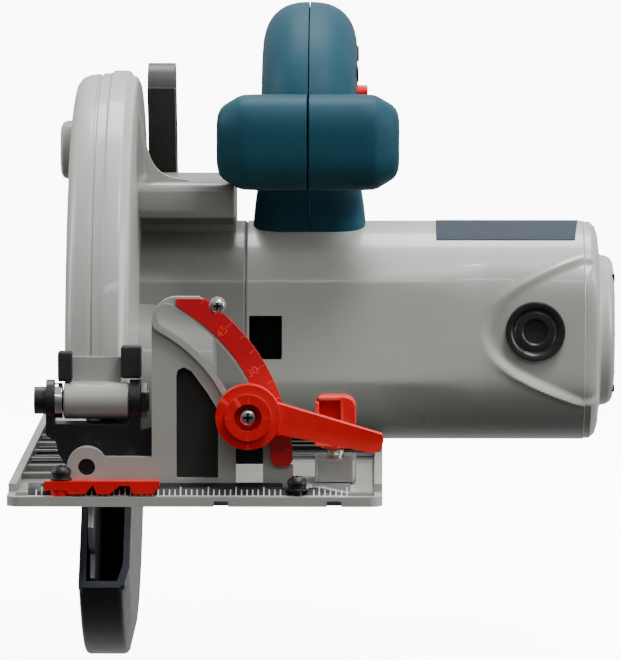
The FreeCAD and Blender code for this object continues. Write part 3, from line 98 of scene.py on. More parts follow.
class Look:
    """A node material under construction."""

    def __init__(self, name, color, roughness, metallic=0.0, coat=0.0, specular=0.5):
        self.material = bpy.data.materials.new(name)
        self.material.use_nodes = True
        self.tree = self.material.node_tree
        self.shader = self.tree.nodes["Principled BSDF"]
        self.color = color
        self.roughness = roughness
        self.set("Base Color", color)
        self.set("Roughness", roughness)
        self.set("Metallic", metallic)
        self.set("Coat Weight", coat)
        self.set("Specular IOR Level", specular)
        self.coords = self.add("ShaderNodeTexCoord").outputs["Object"]
        self.height = None

    def set(self, socket, value):
        self.shader.inputs[socket].default_value = value

    def add(self, kind, **settings):
        made = self.tree.nodes.new(kind)
        for key, value in settings.items():
            if key in made.inputs:
                made.inputs[key].default_value = value
            else:
                setattr(made, key, value)
        return made

    def link(self, out, into):
        self.tree.links.new(out, into)

    def noise(self, scale, detail=4.0, rough=0.6, stretch=None):
        made = self.add("ShaderNodeTexNoise", Scale=scale, Detail=detail, Roughness=rough)
        if stretch:
            mapping = self.add("ShaderNodeMapping")
            mapping.inputs["Scale"].default_value = stretch
            self.link(self.coords, mapping.inputs["Vector"])
            self.link(mapping.outputs["Vector"], made.inputs["Vector"])
        else:
            self.link(self.coords, made.inputs["Vector"])
        return made.outputs["Fac"]

    def ramp(self, source, stops):
        made = self.add("ShaderNodeValToRGB")
        elements = made.color_ramp.elements
        while len(elements) < len(stops):
            elements.new(0.5)
        for element, (position, color) in zip(elements, stops):
            element.position = position
            element.color = color
        self.link(source, made.inputs["Fac"])
        return made.outputs["Color"]

    def vary(self, scale, amount, detail=4.0, stretch=None):
        """Lightens and darkens the base colour softly."""
        dark = tuple(c * (1 - amount) for c in self.color[:3]) + (1.0,)
        light = tuple(min(1.0, c * (1 + amount)) for c in self.color[:3]) + (1.0,)
        color = self.ramp(self.noise(scale, detail, stretch=stretch), [(0.3, dark), (0.7, light)])
        return self.use_color(color)

    def use_color(self, color):
        self.top = color
        self.link(color, self.shader.inputs["Base Color"])
        return self

    def specks(self, scale, color, low=0.72, high=0.76):
        """Small specks of dust or chipped paint over the colour so far."""
        mask = self.ramp(self.noise(scale, 2.0, 0.5), [(low, (0, 0, 0, 1)), (high, (1, 1, 1, 1))])
        mix = self.add("ShaderNodeMix", data_type="RGBA")
        self.link(mask, mix.inputs["Factor"])
        self.link(self.top, mix.inputs["A"])
        mix.inputs["B"].default_value = color
        return self.use_color(mix.outputs["Result"])

    def wear(self, color, low=0.54, high=0.6):
        """Lighter edges from the surface's own curvature: partly rubbed wear, partly a painted edge
        highlight.
        """
        edge = self.add("ShaderNodeNewGeometry").outputs["Pointiness"]
        mask = self.ramp(edge, [(low, (0, 0, 0, 1)), (high, (1, 1, 1, 1))])
        mix = self.add("ShaderNodeMix", data_type="RGBA")
        self.link(mask, mix.inputs["Factor"])
        self.link(self.top, mix.inputs["A"])
        mix.inputs["B"].default_value = color
        return self.use_color(mix.outputs["Result"])

    def gloss(self, scale, low, high, stretch=None):
        made = self.add("ShaderNodeMapRange")
        self.link(self.noise(scale, 3.0, stretch=stretch), made.inputs["Value"])
        made.inputs["To Min"].default_value = low
        made.inputs["To Max"].default_value = high
        self.link(made.outputs["Result"], self.shader.inputs["Roughness"])
        return self

    def bump(self, scale, strength, distance=0.0002, detail=3.0, stretch=None):
        made = self.add("ShaderNodeBump", Strength=strength, Distance=distance)
        self.link(self.noise(scale, detail, stretch=stretch), made.inputs["Height"])
        if self.height:
            self.link(self.height, made.inputs["Normal"])
        self.height = made.outputs["Normal"]
        self.link(self.height, self.shader.inputs["Normal"])
        return self


GREY = (0.335, 0.345, 0.318, 1.0)
# Darker copy of the cast grey, as painted shade: the gear case is the guard's grey, and this darker tone
# stands in for the shade that falls on it and inside the quadrant's slot.
SHADED_CASE_GREY = (0.2, 0.205, 0.19, 1.0)
TEAL = (0.012, 0.054, 0.079, 1.0)
RED = (0.66, 0.006, 0.009, 1.0)
BLACK = (0.008, 0.008, 0.01, 1.0)
STEEL = srgb(176, 176, 174)


def make_looks():
    looks = {}

    def keep(key, look):
        looks[key] = look.material

    cast = Look("cast_paint", GREY, 0.42, coat=0.25).vary(35, 0.05)
    cast.specks(900, srgb(186, 188, 182), 0.71, 0.76)
    keep("cast", cast.gloss(120, 0.36, 0.5).bump(1400, 0.18, 0.00012).bump(160, 0.12, 0.0003))
    shell = Look("motor_shell", GREY, 0.36, coat=0.3).vary(22, 0.035)
    shell.specks(700, srgb(190, 192, 186), 0.73, 0.77)
    keep("shell", shell.gloss(90, 0.3, 0.42).bump(2200, 0.12, 0.0001))
    # Shaded copy of the cast paint, used as painted shade on the gear case and on the walls inside the
    # quadrant's slot.
    case = Look("shaded_case_paint", SHADED_CASE_GREY, 0.42, coat=0.25).vary(35, 0.05)
    case.specks(900, srgb(150, 152, 147), 0.71, 0.76)
    keep("case", case.gloss(120, 0.36, 0.5).bump(1400, 0.18, 0.00012).bump(160, 0.12, 0.0003))
    # Near-black paint standing in for the shade on the floor of the quadrant's blind window.
    dim = Look("painted_recess_shade", (0.022, 0.022, 0.021, 1), 0.55, specular=0.25).vary(60, 0.1)
    keep("dim", dim.gloss(150, 0.5, 0.62).bump(1400, 0.15, 0.0001))
    teal = Look("teal_grip", TEAL, 0.5, specular=0.08).vary(40, 0.08)
    teal.specks(1200, (0.03, 0.1, 0.14, 1), 0.73, 0.77)
    keep("teal", teal.gloss(150, 0.42, 0.56).bump(3200, 0.3, 0.00012))
    red = Look("red_plastic", RED, 0.36, coat=0.1, specular=0.3).vary(60, 0.08)
    # Brighter red on convex edges: partly wear, partly painted highlight.
    red.wear((1.0, 0.05, 0.035, 1), 0.53, 0.62)
    keep("red", red.gloss(200, 0.3, 0.44).bump(2600, 0.15, 0.0001))
    scale = Look("scale_red", (0.55, 0.003, 0.012, 1), 0.34, coat=0.15).vary(60, 0.06)
    keep("scale", scale.gloss(200, 0.28, 0.42).bump(2600, 0.12, 0.0001))
    black = Look("black_steel", BLACK, 0.38, specular=0.35).vary(80, 0.3)
    # Lighter grey on convex edges: partly worn steel, partly painted highlight.
    black.specks(1500, (0.2, 0.2, 0.2, 1), 0.73, 0.76).wear((0.12, 0.12, 0.125, 1), 0.54, 0.64)
    keep("black", black.gloss(200, 0.32, 0.5).bump(1800, 0.2, 0.00012))
    guard = Look("guard_paint", (0.013, 0.016, 0.024, 1), 0.36, specular=0.3).vary(30, 0.15)
    guard.specks(1100, (0.14, 0.15, 0.17, 1), 0.74, 0.77)
    keep("guard", guard.gloss(110, 0.26, 0.42).bump(2000, 0.16, 0.0001))
    zinc = Look("zinc_steel", STEEL, 0.32, metallic=1.0).vary(90, 0.12)
    keep("zinc", zinc.gloss(260, 0.25, 0.45).bump(1500, 0.15, 0.0001))
    chrome = Look("chrome_screw", srgb(205, 205, 205), 0.16, metallic=1.0).vary(200, 0.08)
    keep("chrome", chrome.gloss(400, 0.1, 0.28).bump(2500, 0.1, 0.0001))
    steel = Look("blade_steel", srgb(170, 172, 175), 0.3, metallic=1.0).vary(14, 0.08, stretch=(1, 1, 9))
    keep("blade", steel.gloss(60, 0.24, 0.42, stretch=(1, 40, 1)).bump(600, 0.2, 0.0001, stretch=(1, 30, 1)))
    rubber = Look("rubber_black", (0.012, 0.012, 0.013, 1), 0.62).vary(120, 0.25)
    keep("rubber", rubber.gloss(200, 0.55, 0.75).bump(1800, 0.4, 0.0002))
    plastic = Look("black_plastic", (0.009, 0.009, 0.011, 1), 0.38).vary(120, 0.25)
    keep("plastic", plastic.gloss(160, 0.3, 0.48).bump(2600, 0.22, 0.0001))
    # Near-black fill painted into vents and screw recesses as the shade inside these holes.
    deep = Look("painted_hole_shade", (0.002, 0.002, 0.002, 1), 0.8, specular=0.1).vary(90, 0.3)
    keep("deep", deep.bump(800, 0.2))
    label = Look("label_print", (0.026, 0.036, 0.05, 1), 0.6, specular=0.12).vary(60, 0.06)
    keep("label", label.gloss(200, 0.55, 0.68).bump(2600, 0.1, 0.0001))
    white = Look("white_mark", srgb(225, 226, 224), 0.5).vary(300, 0.1)
    keep("white", white.bump(1800, 0.15, 0.0001))
    ruler = Look("ruler_print", (0.012, 0.012, 0.013, 1), 0.36, coat=0.2).vary(200, 0.3)
    ruler.specks(1800, (0.25, 0.25, 0.25, 1), 0.7, 0.75)
    keep("ruler", ruler.gloss(200, 0.3, 0.45).bump(1600, 0.15, 0.0001))
    copper = Look("copper_wire", srgb(184, 104, 62), 0.35, metallic=1.0).vary(90, 0.12)
    keep("copper", copper.bump(300, 0.8, 0.0006, stretch=(1, 8, 8)))
    lamination = Look("lamination", srgb(120, 121, 124), 0.42, metallic=1.0).vary(60, 0.1)
    keep("lamination", lamination.bump(900, 0.8, 0.0004, stretch=(14, 0.4, 0.4)))
    arm = Look("arm_paint", (0.03, 0.03, 0.027, 1), 0.42, specular=0.4).vary(30, 0.08)
    arm.specks(900, (0.25, 0.25, 0.24, 1), 0.74, 0.77)
    keep("arm", arm.gloss(120, 0.34, 0.48).bump(1400, 0.15, 0.00012))
    return looks


LOOKS = make_looks()

# ---------------------------------------------------------------- mesh helpers


def piece(name, verts, faces, body, look, slot, replaces=(), smooth=True, bevel=0.0, extra=()):
    """A new mesh object, from millimetres, that rides on a body. extra holds (look, face numbers)."""
    mesh = bpy.data.meshes.new(name)
    mesh.from_pydata([tuple(float(c) * MM for c in v) for v in verts], [], [tuple(f) for f in faces])
    mesh.validate()
    mesh.materials.append(LOOKS[look])
    for number, (other, indices) in enumerate(extra, start=1):
        mesh.materials.append(LOOKS[other])
        for index in indices:
            mesh.polygons[index].material_index = number
    thing = bpy.data.objects.new(name, mesh)
    bpy.context.scene.collection.objects.link(thing)
    soften(thing, bevel, smooth)
    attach(thing, body)
    if replaces:
        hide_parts(*replaces)
    return thing


def soften(thing, bevel, smooth=True, angle=35, segments=3):
    """Rounds sharp edges by bevel millimetres and shades the rest smoothly."""
    if bevel:
        made = thing.modifiers.new("edge", "BEVEL")
        made.width = bevel * MM
        made.segments = segments
        made.limit_method = "ANGLE"
        made.angle_limit = math.radians(angle)
        made.harden_normals = False
        made.use_clamp_overlap = True
    if smooth:
        for face in thing.data.polygons:
            face.use_smooth = True
        flow = thing.modifiers.new("flow", "WEIGHTED_NORMAL")
        flow.keep_sharp = True
        flow.weight = 80
        mark_sharp(thing.data, angle if not bevel else 70)


def mark_sharp(mesh, angle):
    mesh.set_sharp_from_angle(angle=math.radians(angle))


def loft(rings, closed=True, caps=True, loop=False):
    """Faces between rings of equal length; returns (verts, faces)."""
    count = len(rings[0])
    verts = [tuple(p) for ring in rings for p in ring]
    faces = []
    spans = len(rings) if loop else len(rings) - 1
    for i in range(spans):
        here, there = i * count, ((i + 1) % len(rings)) * count
        for k in range(count if closed else count - 1):
            after = (k + 1) % count
            faces.append((here + k, here + after, there + after, there + k))
    if caps and not loop:
        faces.append(tuple(range(count))[::-1])
        faces.append(tuple(range(len(verts) - count, len(verts))))
    return verts, faces


def around(axis, centre, profile, start=0.0, span=360.0, steps=96):
    """A closed profile of (along, radius) turned about an axis through centre.

    Angle 0 is +Z for the X and Y axes, and +X for the Z axis.
    """
    full = span >= 360
    rings = []
    for i in range(steps if full else steps + 1):
        angle = math.radians(start + span * i / steps)
        ring = []
        for along, radius in profile:
            sine, cosine = radius * math.sin(angle), radius * math.cos(angle)
            if axis == "X":
                ring.append((along, centre[0] - sine, centre[1] + cosine))
            elif axis == "Y":
                ring.append((centre[0] + sine, along, centre[1] + cosine))
            else:
                ring.append((centre[0] + cosine, centre[1] + sine, along))
        rings.append(ring)
    return loft(rings, loop=full)


def join(*meshes):
    verts, faces = [], []
    for part_verts, part_faces in meshes:
        shift = len(verts)
        verts += list(part_verts)
        faces += [tuple(i + shift for i in face) for face in part_faces]
    return verts, faces


def block(low, high):
    verts = [(x, y, z) for x in (low[0], high[0]) for y in (low[1], high[1]) for z in (low[2], high[2])]
    faces = [(0, 1, 3, 2), (4, 6, 7, 5), (0, 4, 5, 1), (2, 3, 7, 6), (0, 2, 6, 4), (1, 5, 7, 3)]
    return verts, faces


def smooth_step(low, high, value):
    share = np.clip((np.asarray(value, float) - low) / (high - low), 0, 1)
    return share * share * (3 - 2 * share)


def catmull(points, count):
    """Points on a smooth curve through the given ones."""
    points = np.array(points, float)
    padded = np.vstack([2 * points[0] - points[1], points, 2 * points[-1] - points[-2]])
    result = []
    spans = len(points) - 1
    for i in range(count):
        place = spans * i / (count - 1)
        k = min(int(place), spans - 1)
        u = place - k
        a, b, c, d = padded[k:k + 4]
        square, cube = 2 * a - 5 * b + 4 * c - d, 3 * b - a - 3 * c + d
        result.append(0.5 * (2 * b + (c - a) * u + square * u * u + cube * u ** 3))
    return np.array(result)


# ---------------------------------------------------------------- motor and gear case

INNER_RADIUS = 30
FACET = 37.2
FACET_TILT = math.radians(3.8)
SCOOP_FACET = 35.0
SCOOP_APEX = 106.0
SCOOP_RISE = 2.0


def casing_radius(angle, power):
    """Radius of the casing at an angle above the front: a cylinder with a flat front and back."""
    flat = np.maximum(np.abs(np.cos(angle - FACET_TILT * np.sign(np.cos(angle)))), 1e-6) / FACET
    return (RADIUS ** -power + flat ** power) ** (-1 / power)


def scoop_radius(angle):
    flat = np.maximum(np.abs(np.cos(angle)), 1e-6) / SCOOP_FACET
    return ((RADIUS - 1.2) ** -26.0 + flat ** 26.0) ** (-1 / 26.0)


def motor_point(x, angle):
    """Radius of the motor housing, with the scooped brush window and its ridge."""
    soft = smooth_step(58, 108, x)
    power = 130 - 112 * soft
    outer = casing_radius(angle, power)
    lift = outer * np.sin(angle) - SCOOP_RISE
    border = SCOOP_APEX + 38 * (lift / 29) ** 2 + 4 * (np.abs(lift) / 29) ** 4
    past = x - border
    inside = smooth_step(-1.5, 5.0, past)
    ridge = 0.9 * np.exp(-((past + 0.5) / 3.0) ** 2) * smooth_step(6, 20, np.abs(lift))
    end = smooth_step(HOUSING_HIGH.x - 5, HOUSING_HIGH.x + 3, x)
    return outer * (1 - inside) + (scoop_radius(angle)) * inside + ridge * (1 - end)


def angles_with(*extra):
    """Angles round the casing, finer at the front and back creases, with the extra ones let in."""
    spans = (np.arange(-180, -60, 2.0), np.arange(-60, 60, 1.0), np.arange(60, 180, 2.0))
    steps = list(np.radians(np.concatenate(spans)))
    for centre in (30.9, -23.2, 180 - 30.9, -180 + 23.2):
        steps += [math.radians(centre + d) for d in (-1.2, -0.5, 0.0, 0.5, 1.2)]
    steps += [math.radians(a) for a in extra]
    return np.array(sorted(set(round(float(a), 5) for a in steps)))


def casing_ring(x, radii, angles):
    """Points about the motor's axis; angle 0 faces the front."""
    return [(x, AXIS_Y - r * math.cos(a), AXIS_Z + r * math.sin(a)) for r, a in zip(radii, angles)]


def motor_housing():
    """Motor shell with its dark vent beside the gear case and the scooped brush window."""
    vent_low, vent_high = -11.6, 12.9
    vent_left, vent_right = HOUSING_LOW.x + 1.2, HOUSING_LOW.x + 13.6
    left, right = HOUSING_LOW.x, HOUSING_HIGH.x
    edge = 0.25
    angles = angles_with(vent_low - edge, vent_low + edge, vent_high - edge, vent_high + edge)
    xs = [left, left, left + 0.5, left + 1.0]
    xs += [vent_left, vent_left + 0.3, vent_left + 6, vent_right - 0.3, vent_right]
    xs += list(np.linspace(vent_right + 3, 98, 26)) + list(np.linspace(99, right, 80))
    rings = []
    for number, x in enumerate(xs):
        radius = motor_point(x, angles)
        if number == 0:
            radius = radius - 3.0
        elif number == 1:
            radius = radius - 0.5
        in_x = vent_left + 0.2 < x < vent_right - 0.2
        low, high = math.radians(vent_low), math.radians(vent_high)
        if in_x:
            radius = np.where((angles > low) & (angles < high), radius - 5.0, radius)
        rings.append(casing_ring(x, radius, angles))
    rings.append(casing_ring(right, [INNER_RADIUS] * len(angles), angles))
    verts, faces = loft(rings)
    # Faces on the vent's sunken floor get the near-black hole fill: painted shade inside the vent.
    dark = []
    for index, face in enumerate(faces[:-2]):
        centre = np.mean([verts[i] for i in face], axis=0)
        close = vent_left - 0.1 < centre[0] < vent_right + 0.1 and centre[1] < AXIS_Y
        span = math.degrees(math.atan2(centre[2] - AXIS_Z, AXIS_Y - centre[1]))
        radial = math.hypot(centre[2] - AXIS_Z, AXIS_Y - centre[1])
        if close and vent_low - 1 < span < vent_high + 1 and radial < FACET - 0.6:
            dark.append(index)
    piece(
        "motor_shell", verts, faces, "saw_body", "shell", "motor_shell", ["motor_housing"],
        extra=[("deep", dark)],
    )


def end_cap():
    """Rounded cap on the motor's end, stepped to a vented dome."""
    low, high = box("end_cap")
    left = low.x
    angles = angles_with()
    steps = [
        (left, 0.0, 1.0), (left + 0.3, 0.3, 1.0), (left + 2.6, 0.4, 1.0), (left + 4.6, 1.4, 0.8),
        (left + 5.6, 3.6, 0.5), (left + 6.0, 6.4, 0.2), (left + 6.3, 8.4, 0.0), (left + 6.9, 9.0, 0.0),
        (left + 9.0, 9.4, 0.0), (left + 10.6, 10.4, 0.0), (left + 11.5, 12.2, 0.0), (high.x, 15.0, 0.0),
        (high.x - 0.2, 24.0, 0.0), (high.x - 0.4, 34.0, 0.0),
    ]
    rings = [casing_ring(left, [28] * len(angles), angles)]
    for x, inset, share in steps:
        body_line = motor_point(HOUSING_HIGH.x, angles) * share + (FACET + 0.6) * (1 - share)
        rings.append(casing_ring(x, body_line - inset, angles))
    verts, faces = loft(rings)
    piece("end_cap_shell", verts, faces, "saw_body", "shell", "motor_shell", ["end_cap"])
    slots = []
    for i in range(-3, 4):
        z = AXIS_Z + 7 * i
        half = 20 - abs(i) * 1.6
        slots.append(block((high.x - 1.2, AXIS_Y - half, z - 1.4), (high.x + 0.15, AXIS_Y + half, z + 1.4)))
    # The slots are near-black bars on the dome, painted as the shade inside vent openings.
    piece("end_vents", *join(*slots), "saw_body", "deep", "black_plastic", bevel=0.4)


def gear_case():
    """Drum, ledge, flange, spindle nose and side bump of the gear case."""
    low, high = box("gear_case")
    flange_right = low.x + 4.6
    angles = angles_with()
    rings = []
    inner = 24.0
    for x, grow in (
        (flange_right - 1.0, None), (flange_right - 1.0, 0.0), (flange_right, 0.6), (flange_right + 2, 0.0),
        (low.x + 20, 0.0), (high.x - 1.0, 0.0), (high.x - 0.5, -0.1), (high.x, -0.6), (high.x, None),
    ):
        radius = np.full(len(angles), inner) if grow is None else casing_radius(angles, 130) + grow
        rings.append(casing_ring(x, radius, angles))
    drum = loft(rings, loop=True)
    ledge = rounded_bar(flange_right - 1.5, high.x - 4.2)
    web = flange_plate(low.x + 0.1, flange_right)
    nose = around("X", (BLADE.y, BLADE.z), [(low.x, 12), (low.x, 24), (-24.2, 24), (-24.2, 12)], steps=64)
    lug = block((low.x + 0.6, -34.5, 59), (flange_right + 0.3, -26, 71))
    swell = [(flange_right, 4), (flange_right, 29), (high.x - 12, 27), (high.x - 10, 4)]
    bump = around("X", (BLADE.y, BLADE.z), swell)
    verts, faces = join(drum, ledge, web, nose, lug, bump)
    # The gear case takes the shaded copy of the cast paint: painted shade.
    piece("gear_case_shell", verts, faces, "saw_body", "case", "cast_paint", ["gear_case"], bevel=0.5)


def rounded_bar(left, right):
    """The ledge on top of the gear case, rounded at its upper front edge."""
    front, back = -29.0, 34.0
    outline = [(front + 2.6, 95.6), (front + 0.9, 97.0), (front, 99.2), (front, 105.2), (front + 0.9, 107.4)]
    outline += [(front + 2.6, 108.6), (front + 5.0, 109.0), (back - 4, 109.0), (back, 105.0), (back, 82.0)]
    outline += [(4, 82.0), (2, 91), (-4, 94.0), (front + 14, 95.0)]
    rings = []
    for x, inset in ((left, 0.0), (right - 1.2, 0.0), (right - 0.3, 0.5), (right, 1.4)):
        centre = (2.0, 101.0)
        ring = []
        for y, z in outline:
            away = np.array([y, z]) - centre
            away = away / np.linalg.norm(away)
            ring.append((x, y - away[0] * inset, z - away[1] * inset))
        rings.append(ring)
    return loft(rings)


def flange_plate(left, right):
    """The plate between the guard and the gear case, seen edge on from the front."""
    outline = []
    for angle in np.radians(np.arange(-112, 96, 6.0)):
        reach = 46.5 + 9.0 * smooth_step(40, 95, math.degrees(angle))
        outline.append((AXIS_Y - reach * math.cos(angle), AXIS_Z + reach * math.sin(angle)))
    outline += [(30, 112), (52, 92), (60, 60), (50, 28), (28, 12)]
    outline = [(y, max(z, 9.5)) for y, z in outline]
    rings = [[(x, y, z) for y, z in outline] for x in (left, right)]
    return loft(rings)


# ---------------------------------------------------------------- guards


GUARD_STEPS = 150
LOWER_OUTER = 107.5


def upper_guard():
    """Fixed blade guard with its stepped rim, pivot boss, side bulge and dust outlet."""
    outer = box("upper_guard")[1].z - BLADE.z
    left, right = -48.0, -24.15
    profile = [
        (left, 40.0), (left, outer - 8.5), (left + 0.7, outer - 5.2), (left + 2.4, outer - 2.9),
        (left + 5.0, outer - 1.8), (left + 8.6, outer - 1.3), (left + 9.1, outer - 1.9),
        (left + 9.7, outer - 1.9), (left + 10.2, outer - 1.2),
        (left + 13.4, outer - 0.95), (left + 14.1, outer - 0.1), (left + 15.0, outer), (right - 4.6, outer),
        (right - 3.5, outer - 0.5), (right - 2.6, outer - 1.8), (right - 1.0, outer - 2.6),
        (right, outer - 4.6),
        (right, 24.3), (right - 1.35, 24.3), (right - 1.35, outer - 6.0), (right - 3.6, outer - 3.4),
        (left + 5.5, outer - 3.6), (left + 3.0, outer - 5.6), (left + 2.4, outer - 8.5), (left + 2.4, 40.0),
    ]
    shell = around("X", (BLADE.y, BLADE.z), profile, -98, 190, GUARD_STEPS)
    boss = around(
        "X", DEPTH_PIVOT,
        [(-47.6, 4.1), (-47.6, 6.2), (-47.1, 6.7), (-24.5, 6.7), (-24.0, 6.2), (-24.0, 4.1)], steps=48,
    )
    bridge = block((-47.0, -124.0, 36.9), (-25.0, -117.8, 43.2))
    foot = block((-45.5, -120.5, 42.6), (-27.0, -116.8, 52.0))
    bulge = around(
        "X", (BLADE.y, BLADE.z + 84),
        [(-54, 0.1), (-54, 8.6), (-53.2, 10.4), (-51.8, 11), (-48.2, 11.4), (-46.2, 11.4), (-46.2, 0.1)],
        steps=48,
    )
    chute = chute_mesh()
    verts, faces = join(shell, boss, bridge, foot, bulge, chute, gusset())
    piece("upper_guard_shell", verts, faces, "saw_body", "cast", "cast_paint", ["upper_guard"], bevel=0.35)


def chute_mesh():
    """Open rectangular dust outlet at the rear of the guard."""
    outer = [(-45, 96), (-27, 96), (-27, 128), (-45, 128)]
    inner = [(-43, 98), (-29, 98), (-29, 126), (-43, 126)]
    rings = []
    for y, shape in ((70, outer), (113, outer), (113, inner), (72, inner)):
        rings.append([(x, y, z) for x, z in shape])
    return loft(rings, caps=False)


def gusset():
    """Thin curved web from the guard's top to the ledge of the gear case."""
    curve = [(-24.6, 143.5), (-23.6, 135), (-21.6, 124), (-18.6, 115.5), (-13.5, 111.2), (-5, 109.4)]
    under = [(-24.6, 141.5), (-24.2, 134), (-22.9, 123), (-21.2, 113), (-19.5, 107.5), (-10, 106.5)]
    outer, inner = catmull(curve, 24), catmull(under, 24)
    rings = []
    for y in (-22.0, -18.5):
        rings.append([(x, y, z) for x, z in outer] + [(x, y, z) for x, z in inner[::-1]])
    brace = [(-25.5, 98), (-25.5, 106.5), (-22.5, 108.5), (-19.8, 112), (-19.6, 98)]
    slab = [[(x, y, z) for x, z in brace] for y in (-24, -12)]
    return join(loft(rings), loft(slab))


def lower_guard():
    """Swinging guard with a thick lip at its front edge, a hub and a small tab."""
    outer = LOWER_OUTER
    left, right = -44.4, -26.0
    profile = [
        (left, 45.0), (left, outer - 1.6), (left + 0.5, outer - 0.5), (left + 1.6, outer),
        (right - 4.2, outer), (right - 3.0, outer - 0.35), (right - 2.2, outer - 1.2),
        (right - 0.3, outer - 9.2), (right, outer - 10.4),
        (right, 25.4), (right - 1.9, 25.4), (right - 1.9, outer - 10.8), (right - 4.0, outer - 2.2),
        (left + 2.2, outer - 2.0), (left + 1.9, outer - 2.6), (left + 1.9, 45.0),
    ]
    shell = around("X", (BLADE.y, BLADE.z), profile, 133, 190, GUARD_STEPS)
    lip_profile = [
        (left - 0.15, 47.0), (left - 0.15, outer - 1.0), (left + 1.4, outer + 0.5),
        (right - 3.6, outer + 0.5),
        (right - 1.4, outer - 1.4), (right + 0.15, outer - 9.6), (right + 0.15, 60.0), (right - 2.4, 60.0),
        (right - 2.4, outer - 11), (right - 4.4, outer - 3.0), (left + 2.6, outer - 3.0), (left + 2.3, 47.0),
    ]
    lip = around("X", (BLADE.y, BLADE.z), lip_profile, 132.4, 1.6, 3)
    collar = [(right - 4.6, 24.3), (right - 4.6, 29), (right - 4.1, 29.5), (right, 29.5), (right, 24.3)]
    hub = around("X", (BLADE.y, BLADE.z), collar)
    angle = math.radians(245)
    spot = (BLADE.y - 107.6 * math.sin(angle), BLADE.z + 107.6 * math.cos(angle))
    peg = [(left + 3, 0.1), (left + 3, 2.6), (left + 3.4, 3)]
    peg += [(left + 12.6, 3), (left + 13, 2.6), (left + 13, 0.1)]
    tab = around("X", spot, peg, steps=32)
    verts, faces = join(shell, lip, hub, tab)
    piece(
        "lower_guard_shell", verts, faces, "lower_guard", "guard", "guard_paint", ["lower_guard"],
        bevel=0.25,
    )


# ---------------------------------------------------------------- grips

# Outer point and inner point (Y, Z), half width and squareness of the handle's section at stations
# from the neck to the rear foot.
STATIONS = [
    ((2.5, 78), (34, 83), 21.5, 5.0), ((2.2, 88), (29, 92), 21.5, 5.0), ((1, 97), (23, 101), 20.6, 4.2),
    ((-10, 107), (19, 110), 19.2, 3.4), ((-25, 121), (19, 118), 18.4, 2.9),
    ((-27, 137), (24, 127), 18.2, 2.7), ((-17, 153), (30, 132), 18.2, 2.55),
    ((0, 165.5), (35, 133.5), 18.2, 2.45), ((20, 172.8), (42, 134), 18.2, 2.45),
    ((44, 174), (52, 133.5), 18.2, 2.5), ((70, 168), (64, 132), 18.2, 2.6),
    ((95, 153), (78, 126), 18.2, 2.7), ((112, 130), (87, 114), 18.2, 2.8),
    ((118, 103), (88, 101), 18.2, 2.9), ((110, 76), (80, 87), 18.2, 3.0),
    ((90, 58), (66, 78), 18.0, 3.2), ((64, 52), (52, 72), 18.0, 3.4),
]
SEAM_GAP = 0.22


def half_section(side, first, last, half_width, power, count=22):
    """One half of the handle's section between its outer and inner point, closed along the seam."""
    first, last = np.array(first, float), np.array(last, float)
    centre, reach = (first + last) / 2, (first - last) / 2
    ring = []
    for i in range(count):
        angle = math.pi * i / (count - 1) - math.pi / 2
        across = half_width * abs(math.cos(angle)) ** (2 / power)
        along = math.copysign(abs(math.sin(angle)) ** (2 / power), math.sin(angle))
        y, z = centre + reach * along
        away = max(across, SEAM_GAP)
        ring.append((SEAM_X + side * away, y, z))
    for share in (0.975, -0.975):
        y, z = centre + reach * share
        ring.append((SEAM_X + side * SEAM_GAP, y, z))
    return ring


def handle_half(side, name):
    """One half of the closed handle with its half of the front grip."""
    rows = np.array([[*a, *b, w, p] for a, b, w, p in STATIONS], float)
    rows = catmull(rows, 76)
    rings = [half_section(side, row[:2], row[2:4], row[4], row[5]) for row in rows]
    verts, faces = join(loft(rings), grip_half(side))
    outward_parts(piece(name + "_shell", verts, faces, "saw_body", "teal", "teal_grip", [name]))


def outward_parts(thing):
    """Turns the faces of a closed mesh outward."""
    work = bmesh.new()
    work.from_mesh(thing.data)
    bmesh.ops.recalc_face_normals(work, faces=work.faces)
    work.to_mesh(thing.data)
    work.free()


def grip_half(side):
    """One half of the transverse front grip: a rounded bar whose end tapers in two steps."""
    centre_y, centre_z = -34.0, 124.6
    half_y, half_z = 17.2, 17.9
    squareness, count = 2.9, 56
    reach = box("handle_right")[1].x - SEAM_X
    steps = [
        (SEAM_GAP, 0.965), (SEAM_GAP + 0.35, 0.995), (6, 1.0), (20, 1.0), (24.4, 0.99), (26.2, 0.955),
        (29, 0.86), (31.6, 0.765), (33.0, 0.68), (33.8, 0.57), (reach, 0.42), (reach, 0.2),
    ]
    rings = []
    for x, share in steps:
        tall = share if share > 0.9 else share * 0.96 + 0.04
        ring = []
        for i in range(count):
            angle = 2 * math.pi * i / count
            c, s = math.cos(angle), math.sin(angle)
            y = math.copysign(abs(c) ** (2 / squareness), c) * half_y * share
            z = math.copysign(abs(s) ** (2 / squareness), s) * half_z * tall
            ring.append((SEAM_X + side * x, centre_y + y, centre_z + z))
        rings.append(ring)
    return loft(rings)


# ---------------------------------------------------------------- screws, caps and marks


def cross_recess(centre, axis, depth, size):
    """Two crossed dark bars: painted shade standing in for the inside of a cross-head recess."""
    half, thin = size, size * 0.26
    x, y, z = centre
    if axis == "Y":
        return join(
            block((x - half, y - 0.02, z - thin), (x + half, y + depth, z + thin)),
            block((x - thin, y - 0.03, z - half), (x + thin, y + depth, z + half)),
        )
    return join(
        block((x - half, y - thin, z - depth), (x + half, y + thin, z + 0.02)),
        block((x - thin, y - half, z - depth), (x + thin, y + half, z + 0.03)),
    )


WASHER = 3.9
SCREW_STACK = 5.4


